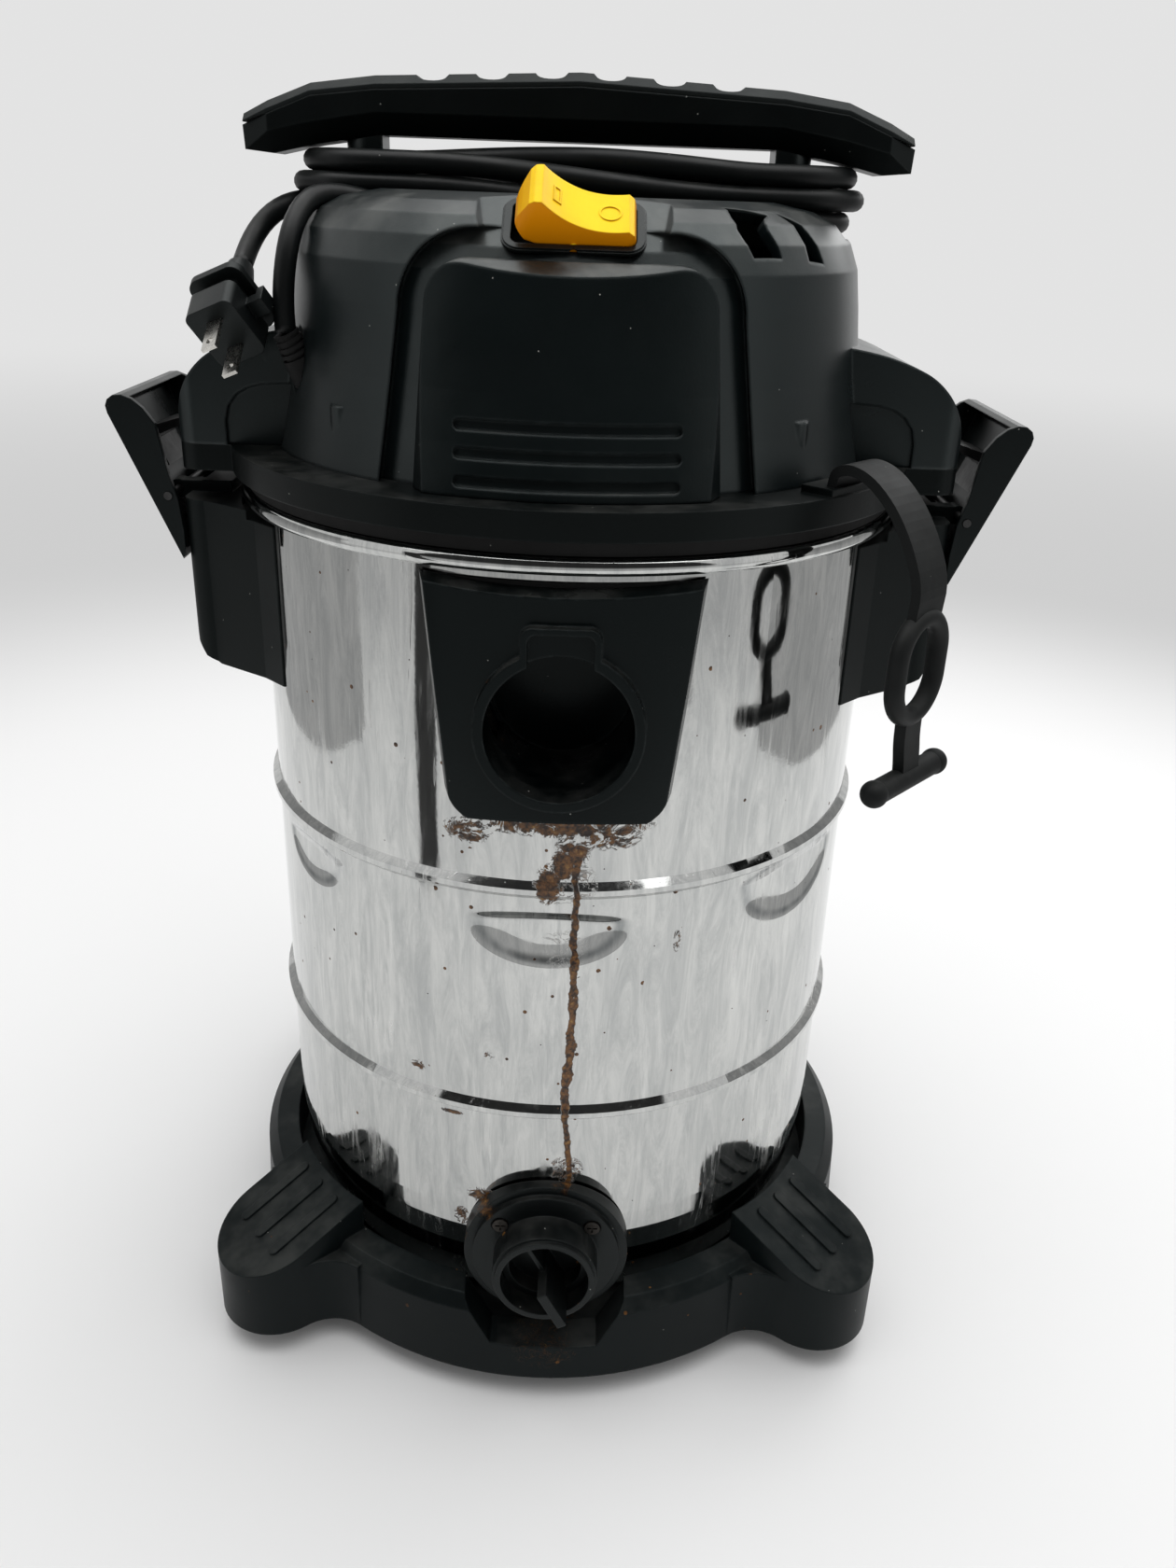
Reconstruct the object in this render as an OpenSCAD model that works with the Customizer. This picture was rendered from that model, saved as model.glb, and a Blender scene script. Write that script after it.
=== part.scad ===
// Wet and dry shop vacuum: steel drum on a caster base, lift-off motor head, side latches.
// Origin on the floor under the drum axis, +Z up, the hose port faces -Y.

/* [Drum] */
// outer radius of the drum wall
drum_r = 140; // [120:1:170]
// height of the rim bead centre above the floor
rim_z = 404; // [340:1:480]
// thickness of the steel wall
drum_wall = 1.2; // [0.8:0.1:2]
// radius of the rolled rim bead
rim_bead = 3.5; // [2:0.5:5]
// how far the two stiffening beads stand out
bead_out = 2.8; // [1.5:0.1:4]

/* [Base] */
// free height under the base
floor_gap = 14; // [10:1:20]
// height of the base ring
ring_h = 43; // [34:1:52]
// half width of a foot pod, also its tip radius
pod_w = 28; // [25:0.5:32]
// reach of a pod tip centre beyond the drum wall
pod_reach = 36; // [30:1:45]
// wall of the moulded base
base_wall = 3; // [2:0.5:4]
// radius of a caster wheel
wheel_r = 12; // [9:0.5:12.5]
// width of a caster wheel
wheel_w = 9; // [7:0.5:10]
// radius of a caster stem
stem_r = 4; // [3:0.5:5]

/* [Hose port] */
// inner radius of the hose port
port_r = 28.6; // [20:0.1:32]
// distance from the rim down to the port axis
port_drop = 62; // [55:1:70]
// half width of the port plate at the top
plate_w = 57; // [50:1:64]

/* [Drain] */
// height of the drain axis above the base floor
drain_up = 48; // [44:1:60]
// radius of the drain flange
drain_flange_r = 38; // [34:1:40]
// outer radius of the drain spout
spout_r = 24; // [20:0.5:26]
// how far the spout reaches past the flange face
spout_out = 16; // [12:1:22]
// turn of the cap grip, degrees
cap_turn = 28; // [0:1:45]

/* [Head] */
// thickness of the lid flange
lid_t = 11; // [8:1:14]
// how far the lid flange reaches past the drum wall
lid_over = 10; // [8:1:14]
// thickness of the rubber seal between rim and lid
seal_t = 6.2; // [4:0.2:8]
// height of the motor cover
cover_h = 98; // [80:1:118]
// wall of the motor cover
cover_wall = 4; // [3.5:0.5:5]
// depth of the sunk band round the front panel
band_deep = 5; // [3:0.5:6]
// how far the front panel stands out of the cover
panel_out = 7; // [4:0.5:10]
// half width of the side lobes
lobe_w = 47; // [40:1:52]
// reach of the side lobes past the drum wall
lobe_out = 26; // [22:1:28]

/* [Handle] */
// half length of the carry handle
handle_l = 136; // [118:1:150]
// half depth of the carry handle
handle_d = 19; // [15:0.5:22]
// clear height between the deck and the underside of the handle
handle_gap = 34; // [30:1:44]
// distance of a post from the middle
post_x = 88.5; // [75:0.5:95]

/* [Latches] */
// half width of a latch lever
latch_w = 40; // [34:1:44]
// lean of the open levers, degrees
latch_lean = 23; // [15:1:26]
// length of a lever above its pin
latch_up = 41; // [34:1:46]
// length of a lever below its pin
latch_down = 27; // [20:1:30]
// radius of a latch pin
pin_r = 1.8; // [1.5:0.1:2.2]

/* [Cord] */
// diameter of the power cord
cord_d = 8.4; // [6:0.1:9]

/* [Inside] */
// outer radius of the filter cage
cage_r = 50; // [42:1:56]
// height of the filter cage
cage_h = 112; // [90:1:130]
// radius of the float ball
ball_r = 20; // [16:0.5:24]
// radius of the motor can
motor_r = 44; // [36:1:52]
// inner radius of the blower port
blower_r = 20.5; // [16:0.5:22]
// radius of the suction fan
fan_r = 54; // [44:1:60]

/* [Fits] */
// radial play of pins and shafts in their bores
run_fit = 0.06; // [0.02:0.01:0.1]
// free gap between pieces that move past each other
move_gap = 0.3; // [0.3:0.1:1]

/* [Hidden] */
eps = 0.01;
rim_r = drum_r + 2 * rim_bead;
rim_top = rim_z + rim_bead;
floor_t = 3;
floor_z = floor_gap + 14;
drum_z = floor_z + floor_t;
bottom_r = drum_r - 19;
base_r = drum_r + 21.5;
ring_z = floor_gap + ring_h;
ring_in = drum_r + 3.5;
pod_c = drum_r + pod_reach;
pod_in_z = ring_z + 18;
pod_drop = 26;
pod_tilt = atan(pod_drop / (pod_reach + pod_w));
pod_az = [-140, -40, 50, 130];
pod_blend = 22;
front_span = 35;
grip_pitch = 23.7;
bead1_z = rim_z - 136;
bead2_z = rim_z - 249;
port_z = rim_z - port_drop;
plate_bot = port_z - 46;
plate_top = rim_z - 3;
drain_z = drum_z + drain_up;
drain_face = drum_r + 9;
spout_bore = spout_r - 4;
lid_z = rim_top + move_gap + seal_t;
lid_r = drum_r + lid_over;
deck_z = lid_z + lid_t;
cover_r = drum_r - 9;
boss_r = cover_r - cover_wall - 5;
cover_top = deck_z + cover_h;
crown_h = 1.02 * cover_h;
channel_z = cover_top - 11;
channel_w = 33;
lobe_x = drum_r + lobe_out;
brk_top = rim_z - 4;
brk_bot = rim_z - 78;
brk_x = drum_r + 28;
brk_w = 42;
pin_x = drum_r + 33.6;
pin_z = brk_top + 1;
lever_face = 7;
lever_t = 2.5;
knuckle_r = 4.1;
hook_w = 14;
handle_z = channel_z + handle_gap;
post_w = 16;
post_d = 20;
switch_y = -(cover_r - 31);
switch_z = cover_top - 8.5;
switch_tilt = 35;
rocker_rest = 19;
rocker_l = 21.6;
rocker_top = 8.4;
rocker_wave = 4.1;
bezel_z = 1.6;
body_z = -9.5;
rocker_pin_r = 1.5;
panel_top = cover_top - 19;
panel_z = deck_z + 0.3;
shaft_r = 4;
cage_top = lid_z;
cage_bot = cage_top - cage_h;
filter_r = cage_r + 13;
strap_az = -42.5;
slot_r = lid_r - 5;
slot_w = 21;
slot_t = 4.4;
vent_az = -56;
strap_t = 4;
strap_w = 20;
gland_az = 208;
gland_r = cover_r - 2.4;
gland_z = deck_z + 47;
gland_lean = 25;
gland_len = 24;
hank_l = post_x + 33.5;
hank_w = post_d / 2 + 1 + 2 * cord_d;
plug_at = [-134, -73, 471.5];
seat_gap = 0.1;
plug_turn = [144, 50, 49];
ball_low = cage_bot + 3 + ball_r + move_gap;
eye_r = ball_r - 3;

// drum outline, radius and height, from the bottom edge up to the rim
drum_line = [
  [drum_r - 18, drum_z],
  [drum_r - 9, drum_z + 9],
  [drum_r - 6.7, drum_z + 17],
  [drum_r - 4, drum_z + 27],
  [drum_r - 2, drum_z + 38],
  [drum_r - 0.5, drum_z + 51],
  [drum_r, drum_z + 62],
  [drum_r, bead2_z - 4],
  [drum_r + bead_out, bead2_z - 1.2],
  [drum_r + bead_out, bead2_z + 1.2],
  [drum_r, bead2_z + 4],
  [drum_r, bead1_z - 4],
  [drum_r + bead_out, bead1_z - 1.2],
  [drum_r + bead_out, bead1_z + 1.2],
  [drum_r, bead1_z + 4],
  [drum_r, rim_z]
];

// motor cover outline, radius and height above the deck
cover_line = [
  [cover_r, 0],
  [cover_r - 4, 0.19 * cover_h],
  [cover_r - 7, 0.37 * cover_h],
  [cover_r - 10, 0.63 * cover_h],
  [cover_r - 12, 0.775 * cover_h],
  [cover_r - 16, 0.875 * cover_h],
  [cover_r - 22, 0.945 * cover_h],
  [cover_r - 31, 0.99 * cover_h],
  [cover_r - 46, crown_h]
];

// side lobe outline, x past the cover foot and height above the deck
lobe_line = [
  [lobe_x, 0],
  [lobe_x, 7],
  [lobe_x - 1.5, 16],
  [lobe_x - 5, 24],
  [lobe_x - 10, 31],
  [lobe_x - 17, 37],
  [lobe_x - 26, 41],
  [lobe_x - 38, 45],
  [lobe_x - 56, 48],
  [90, 50]
];

// handle stations from the middle to the tip: share of the half length, seam drop, underside drop
handle_line = [
  [0, 0, 0],
  [0.6, 3.5, 1.5],
  [0.79, 6.5, 5.5],
  [0.92, 13.5, 9.5],
  [1, 17.7, 7]
];

// cord between the gland and the hank, then between the hank and the plug
lead_path = [
  [-113.5, -60.5, 472],
  [-114, -60.5, 479],
  [-114, -60, 486],
  [-113, -59, 494],
  [-112, -57, 502],
  [-111, -53, 509],
  [-109, -47, 516],
  [-106, -40, 521.5],
  [-101, -32, 524.5],
  [-94, -25, 522]
];
tail_path = [
  [-116, -6, 520],
  [-121.5, -9, 518],
  [-127, -11, 515],
  [-132, -13.5, 510],
  [-135, -18, 504],
  [-136, -26, 498.3],
  [-135.4, -37, 493.1]
];

// ---- shared shapes ----

// line with its corners cut to a smooth curve, ends kept
function cut_corners(p) = [p[0], for (i = [0:len(p) - 2]) each [0.75 * p[i] + 0.25 * p[i + 1],
  0.25 * p[i] + 0.75 * p[i + 1]], p[len(p) - 1]];
function smooth(p) = cut_corners(cut_corners(p));

// solid of revolution of the drum outline grown by d
module drum_solid(d) {
  rotate_extrude($fn = 180)
    polygon(concat([[0, drum_z - d]], [for (p = drum_line) [p[0] + d, p[1] - (p[1] == drum_z ? d : 0)]],
      [[drum_r + d, rim_z + 1], [0, rim_z + 1]]));
}

// share of a growth that lifts the outline at point i: none on the side, all on the top
function cover_lift(i) = min(1, max(0, (cover_line[i][1] / cover_h - 0.7) / 0.3));

// solid of revolution of the motor cover outline grown by d
module cover_solid(d) {
  translate([0, 0, deck_z])
    rotate_extrude($fn = 180)
      polygon(concat([[0, d < 0 ? -1 : 0]], [for (i = [0:len(cover_line) - 1])
        [cover_line[i][0] + d, cover_line[i][1] + (i == 0 ? (d < 0 ? -1 : 0) : d * cover_lift(i))]],
        [[0, crown_h + d]]));
}

// stadium in the XY plane from a to b with half width r
module stadium(a, b, r) {
  translate([a, 0]) circle(r, $fn = 48);
  translate([b, 0]) circle(r, $fn = 48);
  translate([min(a, b), -r]) square([abs(b - a), 2 * r]);
}

// rectangle with round corners, half sizes w and h
module round_rect(w, h, r) {
  square([2 * w - 2 * r, 2 * h], center = true);
  square([2 * w, 2 * h - 2 * r], center = true);
  for (x = [-1, 1], y = [-1, 1]) translate([x * (w - r), y * (h - r)]) circle(r, $fn = 40);
}

// outline in the XZ plane pushed along Y from y0 to y1
module along_y(y0, y1) {
  translate([0, y1, 0]) rotate([90, 0, 0]) linear_extrude(y1 - y0) children();
}

// trapezoid with round upper corners: half widths at foot and top, heights, corner radius
module arch(wb, wt, z0, z1, r) {
  polygon([[-wb, z0], [wb, z0], [wt, z1 - r], [-wt, z1 - r]]);
  translate([-(wt - r), z1 - r - eps]) square([2 * (wt - r), r + eps]);
  for (x = [-1, 1]) translate([x * (wt - r), z1 - r]) circle(r, $fn = 48);
}

// turn about the drum axis to azimuth a, x then points outwards
module at_az(a) {
  rotate([0, 0, a]) children();
}

// ---- drum ----

// front sector of the wall between the two welded seams
module front_sector() {
  translate([0, 0, drum_z - 10]) linear_extrude(rim_top)
    polygon([[0, 0], [-300 * tan(front_span), -300], [300 * tan(front_span), -300]]);
}

module drum() {
  color("silver") difference() {
    drum_shell();
    front_sector();
  }
}

// front of the wall, with the port and the drain hole
module drum_front() {
  color("silver") intersection() {
    drum_shell();
    front_sector();
  }
}

module drum_shell() {
  difference() {
    union() {
      drum_solid(0);
      translate([0, 0, rim_z]) rotate_extrude($fn = 180) {
        translate([drum_r + rim_bead, 0]) circle(rim_bead, $fn = 32);
        translate([drum_r - drum_wall, 0]) square([rim_bead + drum_wall, rim_bead]);
      }
    }
    drum_solid(-drum_wall);
    translate([0, 0, drum_z - 2]) cylinder(h = 4 + drum_wall, r = bottom_r, $fn = 180);
    translate([0, 0, rim_z - 2]) cylinder(h = 12, r = drum_r - drum_wall, $fn = 180);
    translate([0, 0, port_z]) rotate([90, 0, 0]) cylinder(h = drum_r + 20, r = port_r + 3.2, $fn = 96);
    translate([0, 0, drain_z]) rotate([90, 0, 0]) cylinder(h = drum_r + 20, r = spout_bore + 2.2, $fn = 96);
    at_rivets() translate([0, 0, -1]) cylinder(h = 6, r = 2.2, $fn = 24);
    drain_screw_holes();
  }
}

// pressed bottom disc with a stiffening ring, welded into the drum's foot
module drum_bottom() {
  color("silver")
  translate([0, 0, drum_z]) rotate_extrude($fn = 180)
    polygon([[0, 0], [88, 0], [91, 2.4], [95, 2.4], [98, 0], [bottom_r, 0], [bottom_r, drum_wall],
      [98.5, drum_wall], [95.5, 2.4 + drum_wall], [90.5, 2.4 + drum_wall], [87.5, drum_wall], [0, drum_wall]]);
}

module drain_screw_holes() {
  for (x = [-1, 1]) translate([x * 21, 0, drain_z + 18]) rotate([90, 0, 0]) cylinder(h = drum_r + 40, r = 2, $fn = 24);
}

// ---- base with foot pods ----

module pod_plan(d) {
  translate([drum_r, -(pod_w + d)]) square([pod_reach, 2 * (pod_w + d)]);
  translate([pod_c, 0]) circle(pod_w + d, $fn = 96);
}

// hollow curve in plan between a pod's side and the ring
module pod_flank() {
  x = sqrt(pow(base_r + pod_blend, 2) - pow(pod_w + pod_blend, 2));
  for (m = [0, 1]) mirror([0, m]) difference() {
    polygon([[drum_r + 6, 0], [x, 0], [x, pod_w + pod_blend], [drum_r + 6, (drum_r + 6) * (pod_w + pod_blend) / x]]);
    translate([x, pod_w + pod_blend]) circle(pod_blend, $fn = 96);
  }
}

// everything below the sloped top of a pod, lowered by d
module pod_below(d) {
  translate([drum_r, 0, pod_in_z - d]) rotate([0, pod_tilt, 0]) translate([-60, -80, -160]) cube([200, 160, 160]);
}

module pod(d) {
  intersection() {
    translate([0, 0, floor_gap]) linear_extrude(pod_in_z) pod_plan(-d);
    pod_below(d);
  }
}

module pod_hollow() {
  intersection() {
    translate([0, 0, floor_gap - 2]) linear_extrude(pod_in_z) {
      translate([pod_c - 22, -pod_w + base_wall]) square([22, 2 * (pod_w - base_wall)]);
      translate([pod_c, 0]) circle(pod_w - base_wall, $fn = 96);
    }
    pod_below(base_wall);
  }
}

module pod_ribs() {
  translate([drum_r, 0, pod_in_z]) rotate([0, pod_tilt, 0])
    for (y = [-1, 0, 1]) translate([0, y * pod_w * 0.52, -1]) linear_extrude(2.3) stadium(12, 47, 2.6);
}

// trapezoid of the drain cut-out grown by d
module drain_outline(d) {
  polygon([[-25 - d, drain_z - 46 - d], [25 + d, drain_z - 46 - d], [37 + d, ring_z - 3], [40 + d, ring_z + 20],
    [-40 - d, ring_z + 20], [-37 - d, ring_z - 3]]);
}

// everything outside radius r about the drum axis
module beyond(r) {
  difference() {
    cylinder(h = 200, r = base_r + 80, $fn = 24);
    translate([0, 0, -1]) cylinder(h = 202, r = r, $fn = 180);
  }
}

module base_ring() {
  rotate_extrude($fn = 180) polygon([
    [base_r, floor_gap], [base_r - 1.5, ring_z - 7], [base_r - 6.5, ring_z - 1], [ring_in, ring_z],
    [ring_in, drum_z], [0, drum_z], [0, floor_z], [ring_in + base_wall, floor_z],
    [ring_in + base_wall, ring_z - base_wall], [base_r - 8, ring_z - 1 - base_wall],
    [base_r - 4.5, ring_z - 8], [base_r - base_wall, floor_gap]]);
}

module base() {
  color("#24282a")
  difference() {
    union() {
      difference() {
        union() {
          base_ring();
          intersection() {
            for (a = pod_az) at_az(a) {
              pod(0);
              translate([0, 0, floor_gap]) linear_extrude(ring_h - 5) pod_flank();
            }
            beyond(ring_in + 1);
          }
        }
        for (a = pod_az) at_az(a) pod_hollow();
      }
      for (a = pod_az) at_az(a) pod_ribs();
      // walls round the drain cut-out
      intersection() {
        rotate_extrude($fn = 180) polygon([
          [base_r - 1.2, floor_gap + 1], [base_r - 2.4, ring_z - 8], [base_r - 7, ring_z - 2],
          [ring_in + 1, ring_z - 1], [ring_in + 1, floor_gap + 1]]);
        along_y(-base_r - 20, -drum_r + 25) drain_outline(3);
      }
      // caster sockets
      for (a = pod_az) at_az(a) intersection() {
        translate([pod_c, 0, floor_gap + 16.5]) cylinder(h = 60, r = 9, $fn = 48);
        pod_below(1);
      }
      // stiffening ribs under the floor
      for (a = [0:45:315]) at_az(a) translate([32, -1.5, floor_gap + 4]) cube([drum_r - 30, 3, 11]);
      translate([0, 0, floor_gap + 5]) difference() {
        cylinder(h = 10, r = 34, $fn = 96);
        translate([0, 0, -1]) cylinder(h = 12, r = 30, $fn = 96);
      }
    }
    for (a = pod_az) at_az(a) translate([pod_c, 0, floor_gap + 10]) cylinder(h = 23, r = stem_r + run_fit, $fn = 48);
    along_y(-base_r - 30, -drum_r + 20) drain_outline(0);
  }
}

// swivel fork with its stem and axle, the wheel trails towards the drum axis
module caster_fork(i) {
  color("#5a5e60")
  at_az(pod_az[i]) translate([pod_c, 0, 0]) {
    translate([0, 0, 2 * wheel_r + 2]) cylinder(h = floor_gap + 30 - 2 * wheel_r, r = stem_r, $fn = 48);
    translate([0, 0, 2 * wheel_r + 2]) cylinder(h = 2.5, r = 9.5, $fn = 48);
    for (y = [-1, 1]) translate([-11, y * (wheel_w / 2 + 1.5) - 1, wheel_r - 4]) cube([14, 2, wheel_r + 8]);
    translate([-6, 0, wheel_r]) rotate([90, 0, 0]) cylinder(h = wheel_w + 5.4, r = 1.6, center = true, $fn = 32);
  }
}

module caster_wheel(i) {
  color("#1b1c1d")
  at_az(pod_az[i]) translate([pod_c - 6, 0, wheel_r]) rotate([90, 0, 0]) difference() {
    union() {
      cylinder(h = wheel_w - 2, r = wheel_r, center = true, $fn = 72);
      cylinder(h = wheel_w, r = wheel_r - 1, center = true, $fn = 72);
    }
    cylinder(h = wheel_w + 2, r = 1.6 + run_fit, center = true, $fn = 32);
    for (z = [-1, 1]) translate([0, 0, z * wheel_w / 2]) difference() {
      cylinder(h = 2.4, r = wheel_r - 3, center = true, $fn = 64);
      cylinder(h = 4, r = 4, center = true, $fn = 48);
    }
  }
}

// ---- hose port ----

module plate_outline(d) {
  polygon([[-(plate_w - d), plate_top - d], [plate_w - d, plate_top - d],
    [plate_w - 8 - d, plate_bot + 15], [plate_w - 9.5 - d, plate_bot + 9 + d / 3],
    [plate_w - 13.5 - d, plate_bot + 3.5 + d / 2], [plate_w - 20 - d / 2, plate_bot + d],
    [-(plate_w - 20 - d / 2), plate_bot + d], [-(plate_w - 13.5 - d), plate_bot + 3.5 + d / 2],
    [-(plate_w - 9.5 - d), plate_bot + 9 + d / 3], [-(plate_w - 8 - d), plate_bot + 15]]);
}

// raised key tab over the port, drawn in by d
module key_slot(d) {
  translate([0, 26]) round_rect(15 - d, 15 - d, 4.5 - d / 2);
}

module port_lip(d) {
  circle(port_r + 4.2 - d, $fn = 96);
  key_slot(d);
}

module inlet_plate() {
  color("#1d2022")
  difference() {
    union() {
      intersection() {
        hull() {
          along_y(-drum_r + 22, -drum_r + 40) plate_outline(0);
          along_y(-drum_r - 14, -drum_r - 13.5) plate_outline(9);
        }
        cylinder(h = rim_z + 20, r = drum_r + 8.5, $fn = 180);
      }
      along_y(-drum_r - 12.5, -drum_r + 20) translate([0, port_z]) port_lip(0);
    }
    drum_solid(drum_wall);
    translate([0, 0, port_z]) rotate([90, 0, 0]) cylinder(h = drum_r + 60, r = port_r, $fn = 96);
    // key slot above the port
    along_y(-drum_r - 20, -drum_r - 6.5) translate([0, port_z]) key_slot(2.6);
  }
}

module inlet_gasket() {
  color("#101112")
  difference() {
    intersection() {
      along_y(-drum_r - 10, -drum_r + 40) plate_outline(4);
      cylinder(h = rim_z + 20, r = drum_r + drum_wall, $fn = 180);
    }
    cylinder(h = rim_z + 20, r = drum_r, $fn = 180);
    translate([0, 0, port_z]) rotate([90, 0, 0]) cylinder(h = drum_r + 60, r = port_r + 3.2, $fn = 96);
  }
}

// tube inside the drum that throws the inflow sideways
module inlet_deflector() {
  color("#1d2022")
  intersection() {
    difference() {
      union() {
        translate([0, -drum_r + 45, port_z]) rotate([90, 0, 0]) cylinder(h = 60, r = port_r + 3, $fn = 96);
        translate([0, -drum_r + 9, port_z]) rotate([90, 0, 0]) cylinder(h = 3, r = port_r + 7, $fn = 96);
      }
      translate([0, -drum_r + 42, port_z]) rotate([90, 0, 0]) cylinder(h = 70, r = port_r + 1.2, $fn = 96);
      translate([-port_r - 10, -drum_r + 18, port_z - 18]) cube([port_r + 6, 23, 36]);
    }
    cylinder(h = rim_z, r = drum_r + drum_wall, $fn = 180);
  }
}

// ---- drain ----

module drain_gasket() {
  color("#101112")
  difference() {
    intersection() {
      translate([0, 0, drain_z]) rotate([90, 0, 0]) cylinder(h = drum_r + 20, r = drain_flange_r - 2, $fn = 96);
      drum_solid(drum_wall);
    }
    drum_solid(0);
    drain_screw_holes();
    translate([0, 0, drain_z]) rotate([90, 0, 0]) cylinder(h = drum_r + 60, r = spout_bore + 2.2, $fn = 96);
  }
}

module drain_spout() {
  color("#1a1c1e")
  difference() {
    union() {
      translate([0, 0, drain_z]) rotate([90, 0, 0]) {
        cylinder(h = drain_face - 3, r = drain_flange_r, $fn = 96);
        cylinder(h = drain_face, r = drain_flange_r - 4, $fn = 96);
        cylinder(h = drain_face + spout_out - 2, r = spout_r, $fn = 96);
        cylinder(h = drain_face + spout_out, r = spout_r - 1.2, $fn = 96);
      }
      // sleeve through the drum wall
      intersection() {
        translate([0, 0, drain_z]) rotate([90, 0, 0]) cylinder(h = drum_r + 5, r = spout_bore + 2, $fn = 96);
        difference() {
          translate([0, 0, drain_z - 40]) cylinder(h = 80, r = drum_r + 5, $fn = 180);
          translate([0, 0, drain_z - 41]) cylinder(h = 82, r = drum_r - 8, $fn = 180);
        }
      }
    }
    difference() {
      drum_solid(drum_wall);
      translate([0, -drum_r + 9, drain_z]) rotate([90, 0, 0]) cylinder(h = 30, r = spout_bore + 2, $fn = 96);
    }
    translate([0, 0, drain_z]) rotate([90, 0, 0]) cylinder(h = drum_r + 60, r = spout_bore, $fn = 96);
    drain_screw_holes();
    for (x = [-1, 1]) translate([x * 21, 0, drain_z + 18]) rotate([90, 0, 0])
      translate([0, 0, drain_face - 1.2]) cylinder(h = 10, r = 4, $fn = 32);
  }
}

module drain_screws() {
  color("#8a8d90")
  for (x = [-1, 1]) translate([x * 21, -drain_face + 0.2, drain_z + 18]) rotate([-90, 0, 0]) difference() {
    union() {
      cylinder(h = 22, r = 2, $fn = 24);
      translate([0, 0, -1]) cylinder(h = 2, r = 3.6, $fn = 32);
    }
    for (t = [0, 90]) rotate([0, 0, t]) translate([-2.4, -0.4, -1.2]) cube([4.8, 0.8, 1]);
  }
}

// quarter-turn plug with a paddle grip
module drain_cap() {
  color("#17191b")
  translate([0, 0, drain_z]) rotate([90, 0, 0]) {
    translate([0, 0, drain_face - 6]) difference() {
      cylinder(h = 12, r = spout_bore - run_fit, $fn = 96);
      translate([0, 0, 4]) cylinder(h = 12, r = spout_bore - 3.5, $fn = 96);
    }
    intersection() {
      translate([0, 0, drain_face - 4]) rotate([0, 0, cap_turn]) union() {
        translate([-2.2, -spout_bore, 0]) cube([4.4, spout_bore + 2, spout_out + 14]);
        translate([-1, 0, 0]) cube([2, spout_bore - 2, spout_out - 1]);
      }
      union() {
        cylinder(h = drain_face + spout_out - 4, r = spout_bore - 1, $fn = 64);
        translate([0, 0, drain_face + spout_out - 5]) cylinder(h = 20, r = spout_bore - 1.5, $fn = 64);
      }
    }
  }
}

// ---- latch brackets, levers ----

module bracket_plan() {
  polygon([[90, -(brk_w + 36)], [drum_r - 18, -(brk_w + 28)], [drum_r - 8, -(brk_w + 18)], [brk_x - 10, -brk_w],
    [brk_x - 10, brk_w], [drum_r - 8, brk_w + 18], [drum_r - 18, brk_w + 28], [90, brk_w + 36]]);
  translate([brk_x - 12, -(brk_w - 9)]) square([12, 2 * brk_w - 18]);
  for (y = [-1, 1]) translate([brk_x - 9.6, y * (brk_w - 9.4)]) circle(9.6, $fn = 48);
}

// steel-drum bracket on the +X side with its two hinge knuckles
module bracket() {
  difference() {
    union() {
      intersection() {
        translate([0, 0, brk_bot]) linear_extrude(brk_top - brk_bot) bracket_plan();
        along_y(-100, 100) polygon([[80, brk_bot], [brk_x - 12, brk_bot], [brk_x - 5, brk_bot + 3],
          [brk_x - 1, brk_bot + 9], [brk_x, brk_bot + 16], [brk_x, brk_top], [80, brk_top]]);
      }
      translate([drum_r + 10, -24, brk_top - 1]) cube([13, 48, 6]);
      for (y = [-1, 1]) {
        translate([pin_x, y * 20 - 4, pin_z]) rotate([-90, 0, 0]) cylinder(h = 8, r = knuckle_r, $fn = 48);
        translate([drum_r + 20, y * 20 - 4, brk_top - 3]) cube([pin_x - drum_r - 20, 8, 3 + pin_z - brk_top + knuckle_r - 0.4]);
      }
    }
    drum_solid(0);
    at_rivets() cylinder(h = 4.5 + drum_wall, r = 2.2, $fn = 24);
    translate([0, 0, rim_z - 8]) cylinder(h = 30, r = rim_r + move_gap, $fn = 180);
    translate([pin_x, 0, pin_z]) rotate([90, 0, 0]) cylinder(h = 200, r = pin_r + run_fit, center = true, $fn = 40);
    // hollow behind the face
    translate([0, 0, brk_bot + 4]) linear_extrude(brk_top - brk_bot - 8) intersection() {
      translate([drum_r + 4, -brk_w + 4]) square([20.5, 2 * brk_w - 8]);
      difference() {
        circle(drum_r + 60, $fn = 120);
        circle(drum_r + 4, $fn = 120);
      }
    }
  }
}

module bracket_l() {
  color("#202325") mirror([1, 0, 0]) bracket();
}

module bracket_r() {
  color("#202325") bracket();
}

// children at each rivet, +Z outwards from the inner face of the wall
module at_rivets() {
  for (s = [0, 180], a = [-9, 9], z = [brk_bot + 18, brk_top - 20])
    at_az(s + a) translate([drum_r - drum_wall, 0, z]) rotate([0, 90, 0]) children();
}

module bracket_rivets() {
  color("#a5a8aa")
  at_rivets() {
    translate([0, 0, -2]) cylinder(h = 2, r = 4.5, $fn = 32);
    translate([0, 0, -1]) cylinder(h = 4.5 + drum_wall, r = 2.2, $fn = 24);
  }
}

module latch_pin() {
  translate([pin_x, 0, pin_z]) rotate([90, 0, 0]) cylinder(h = 2 * latch_w + 1, r = pin_r, center = true, $fn = 40);
}

module latch_pin_l() {
  color("#9fa3a6") mirror([1, 0, 0]) latch_pin();
}

module latch_pin_r() {
  color("#9fa3a6") latch_pin();
}

// lever frame: x outwards, z up along the lever, origin on the pin
module lever_frame() {
  translate([pin_x, 0, pin_z]) rotate([0, latch_lean, 0]) children();
}

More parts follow.
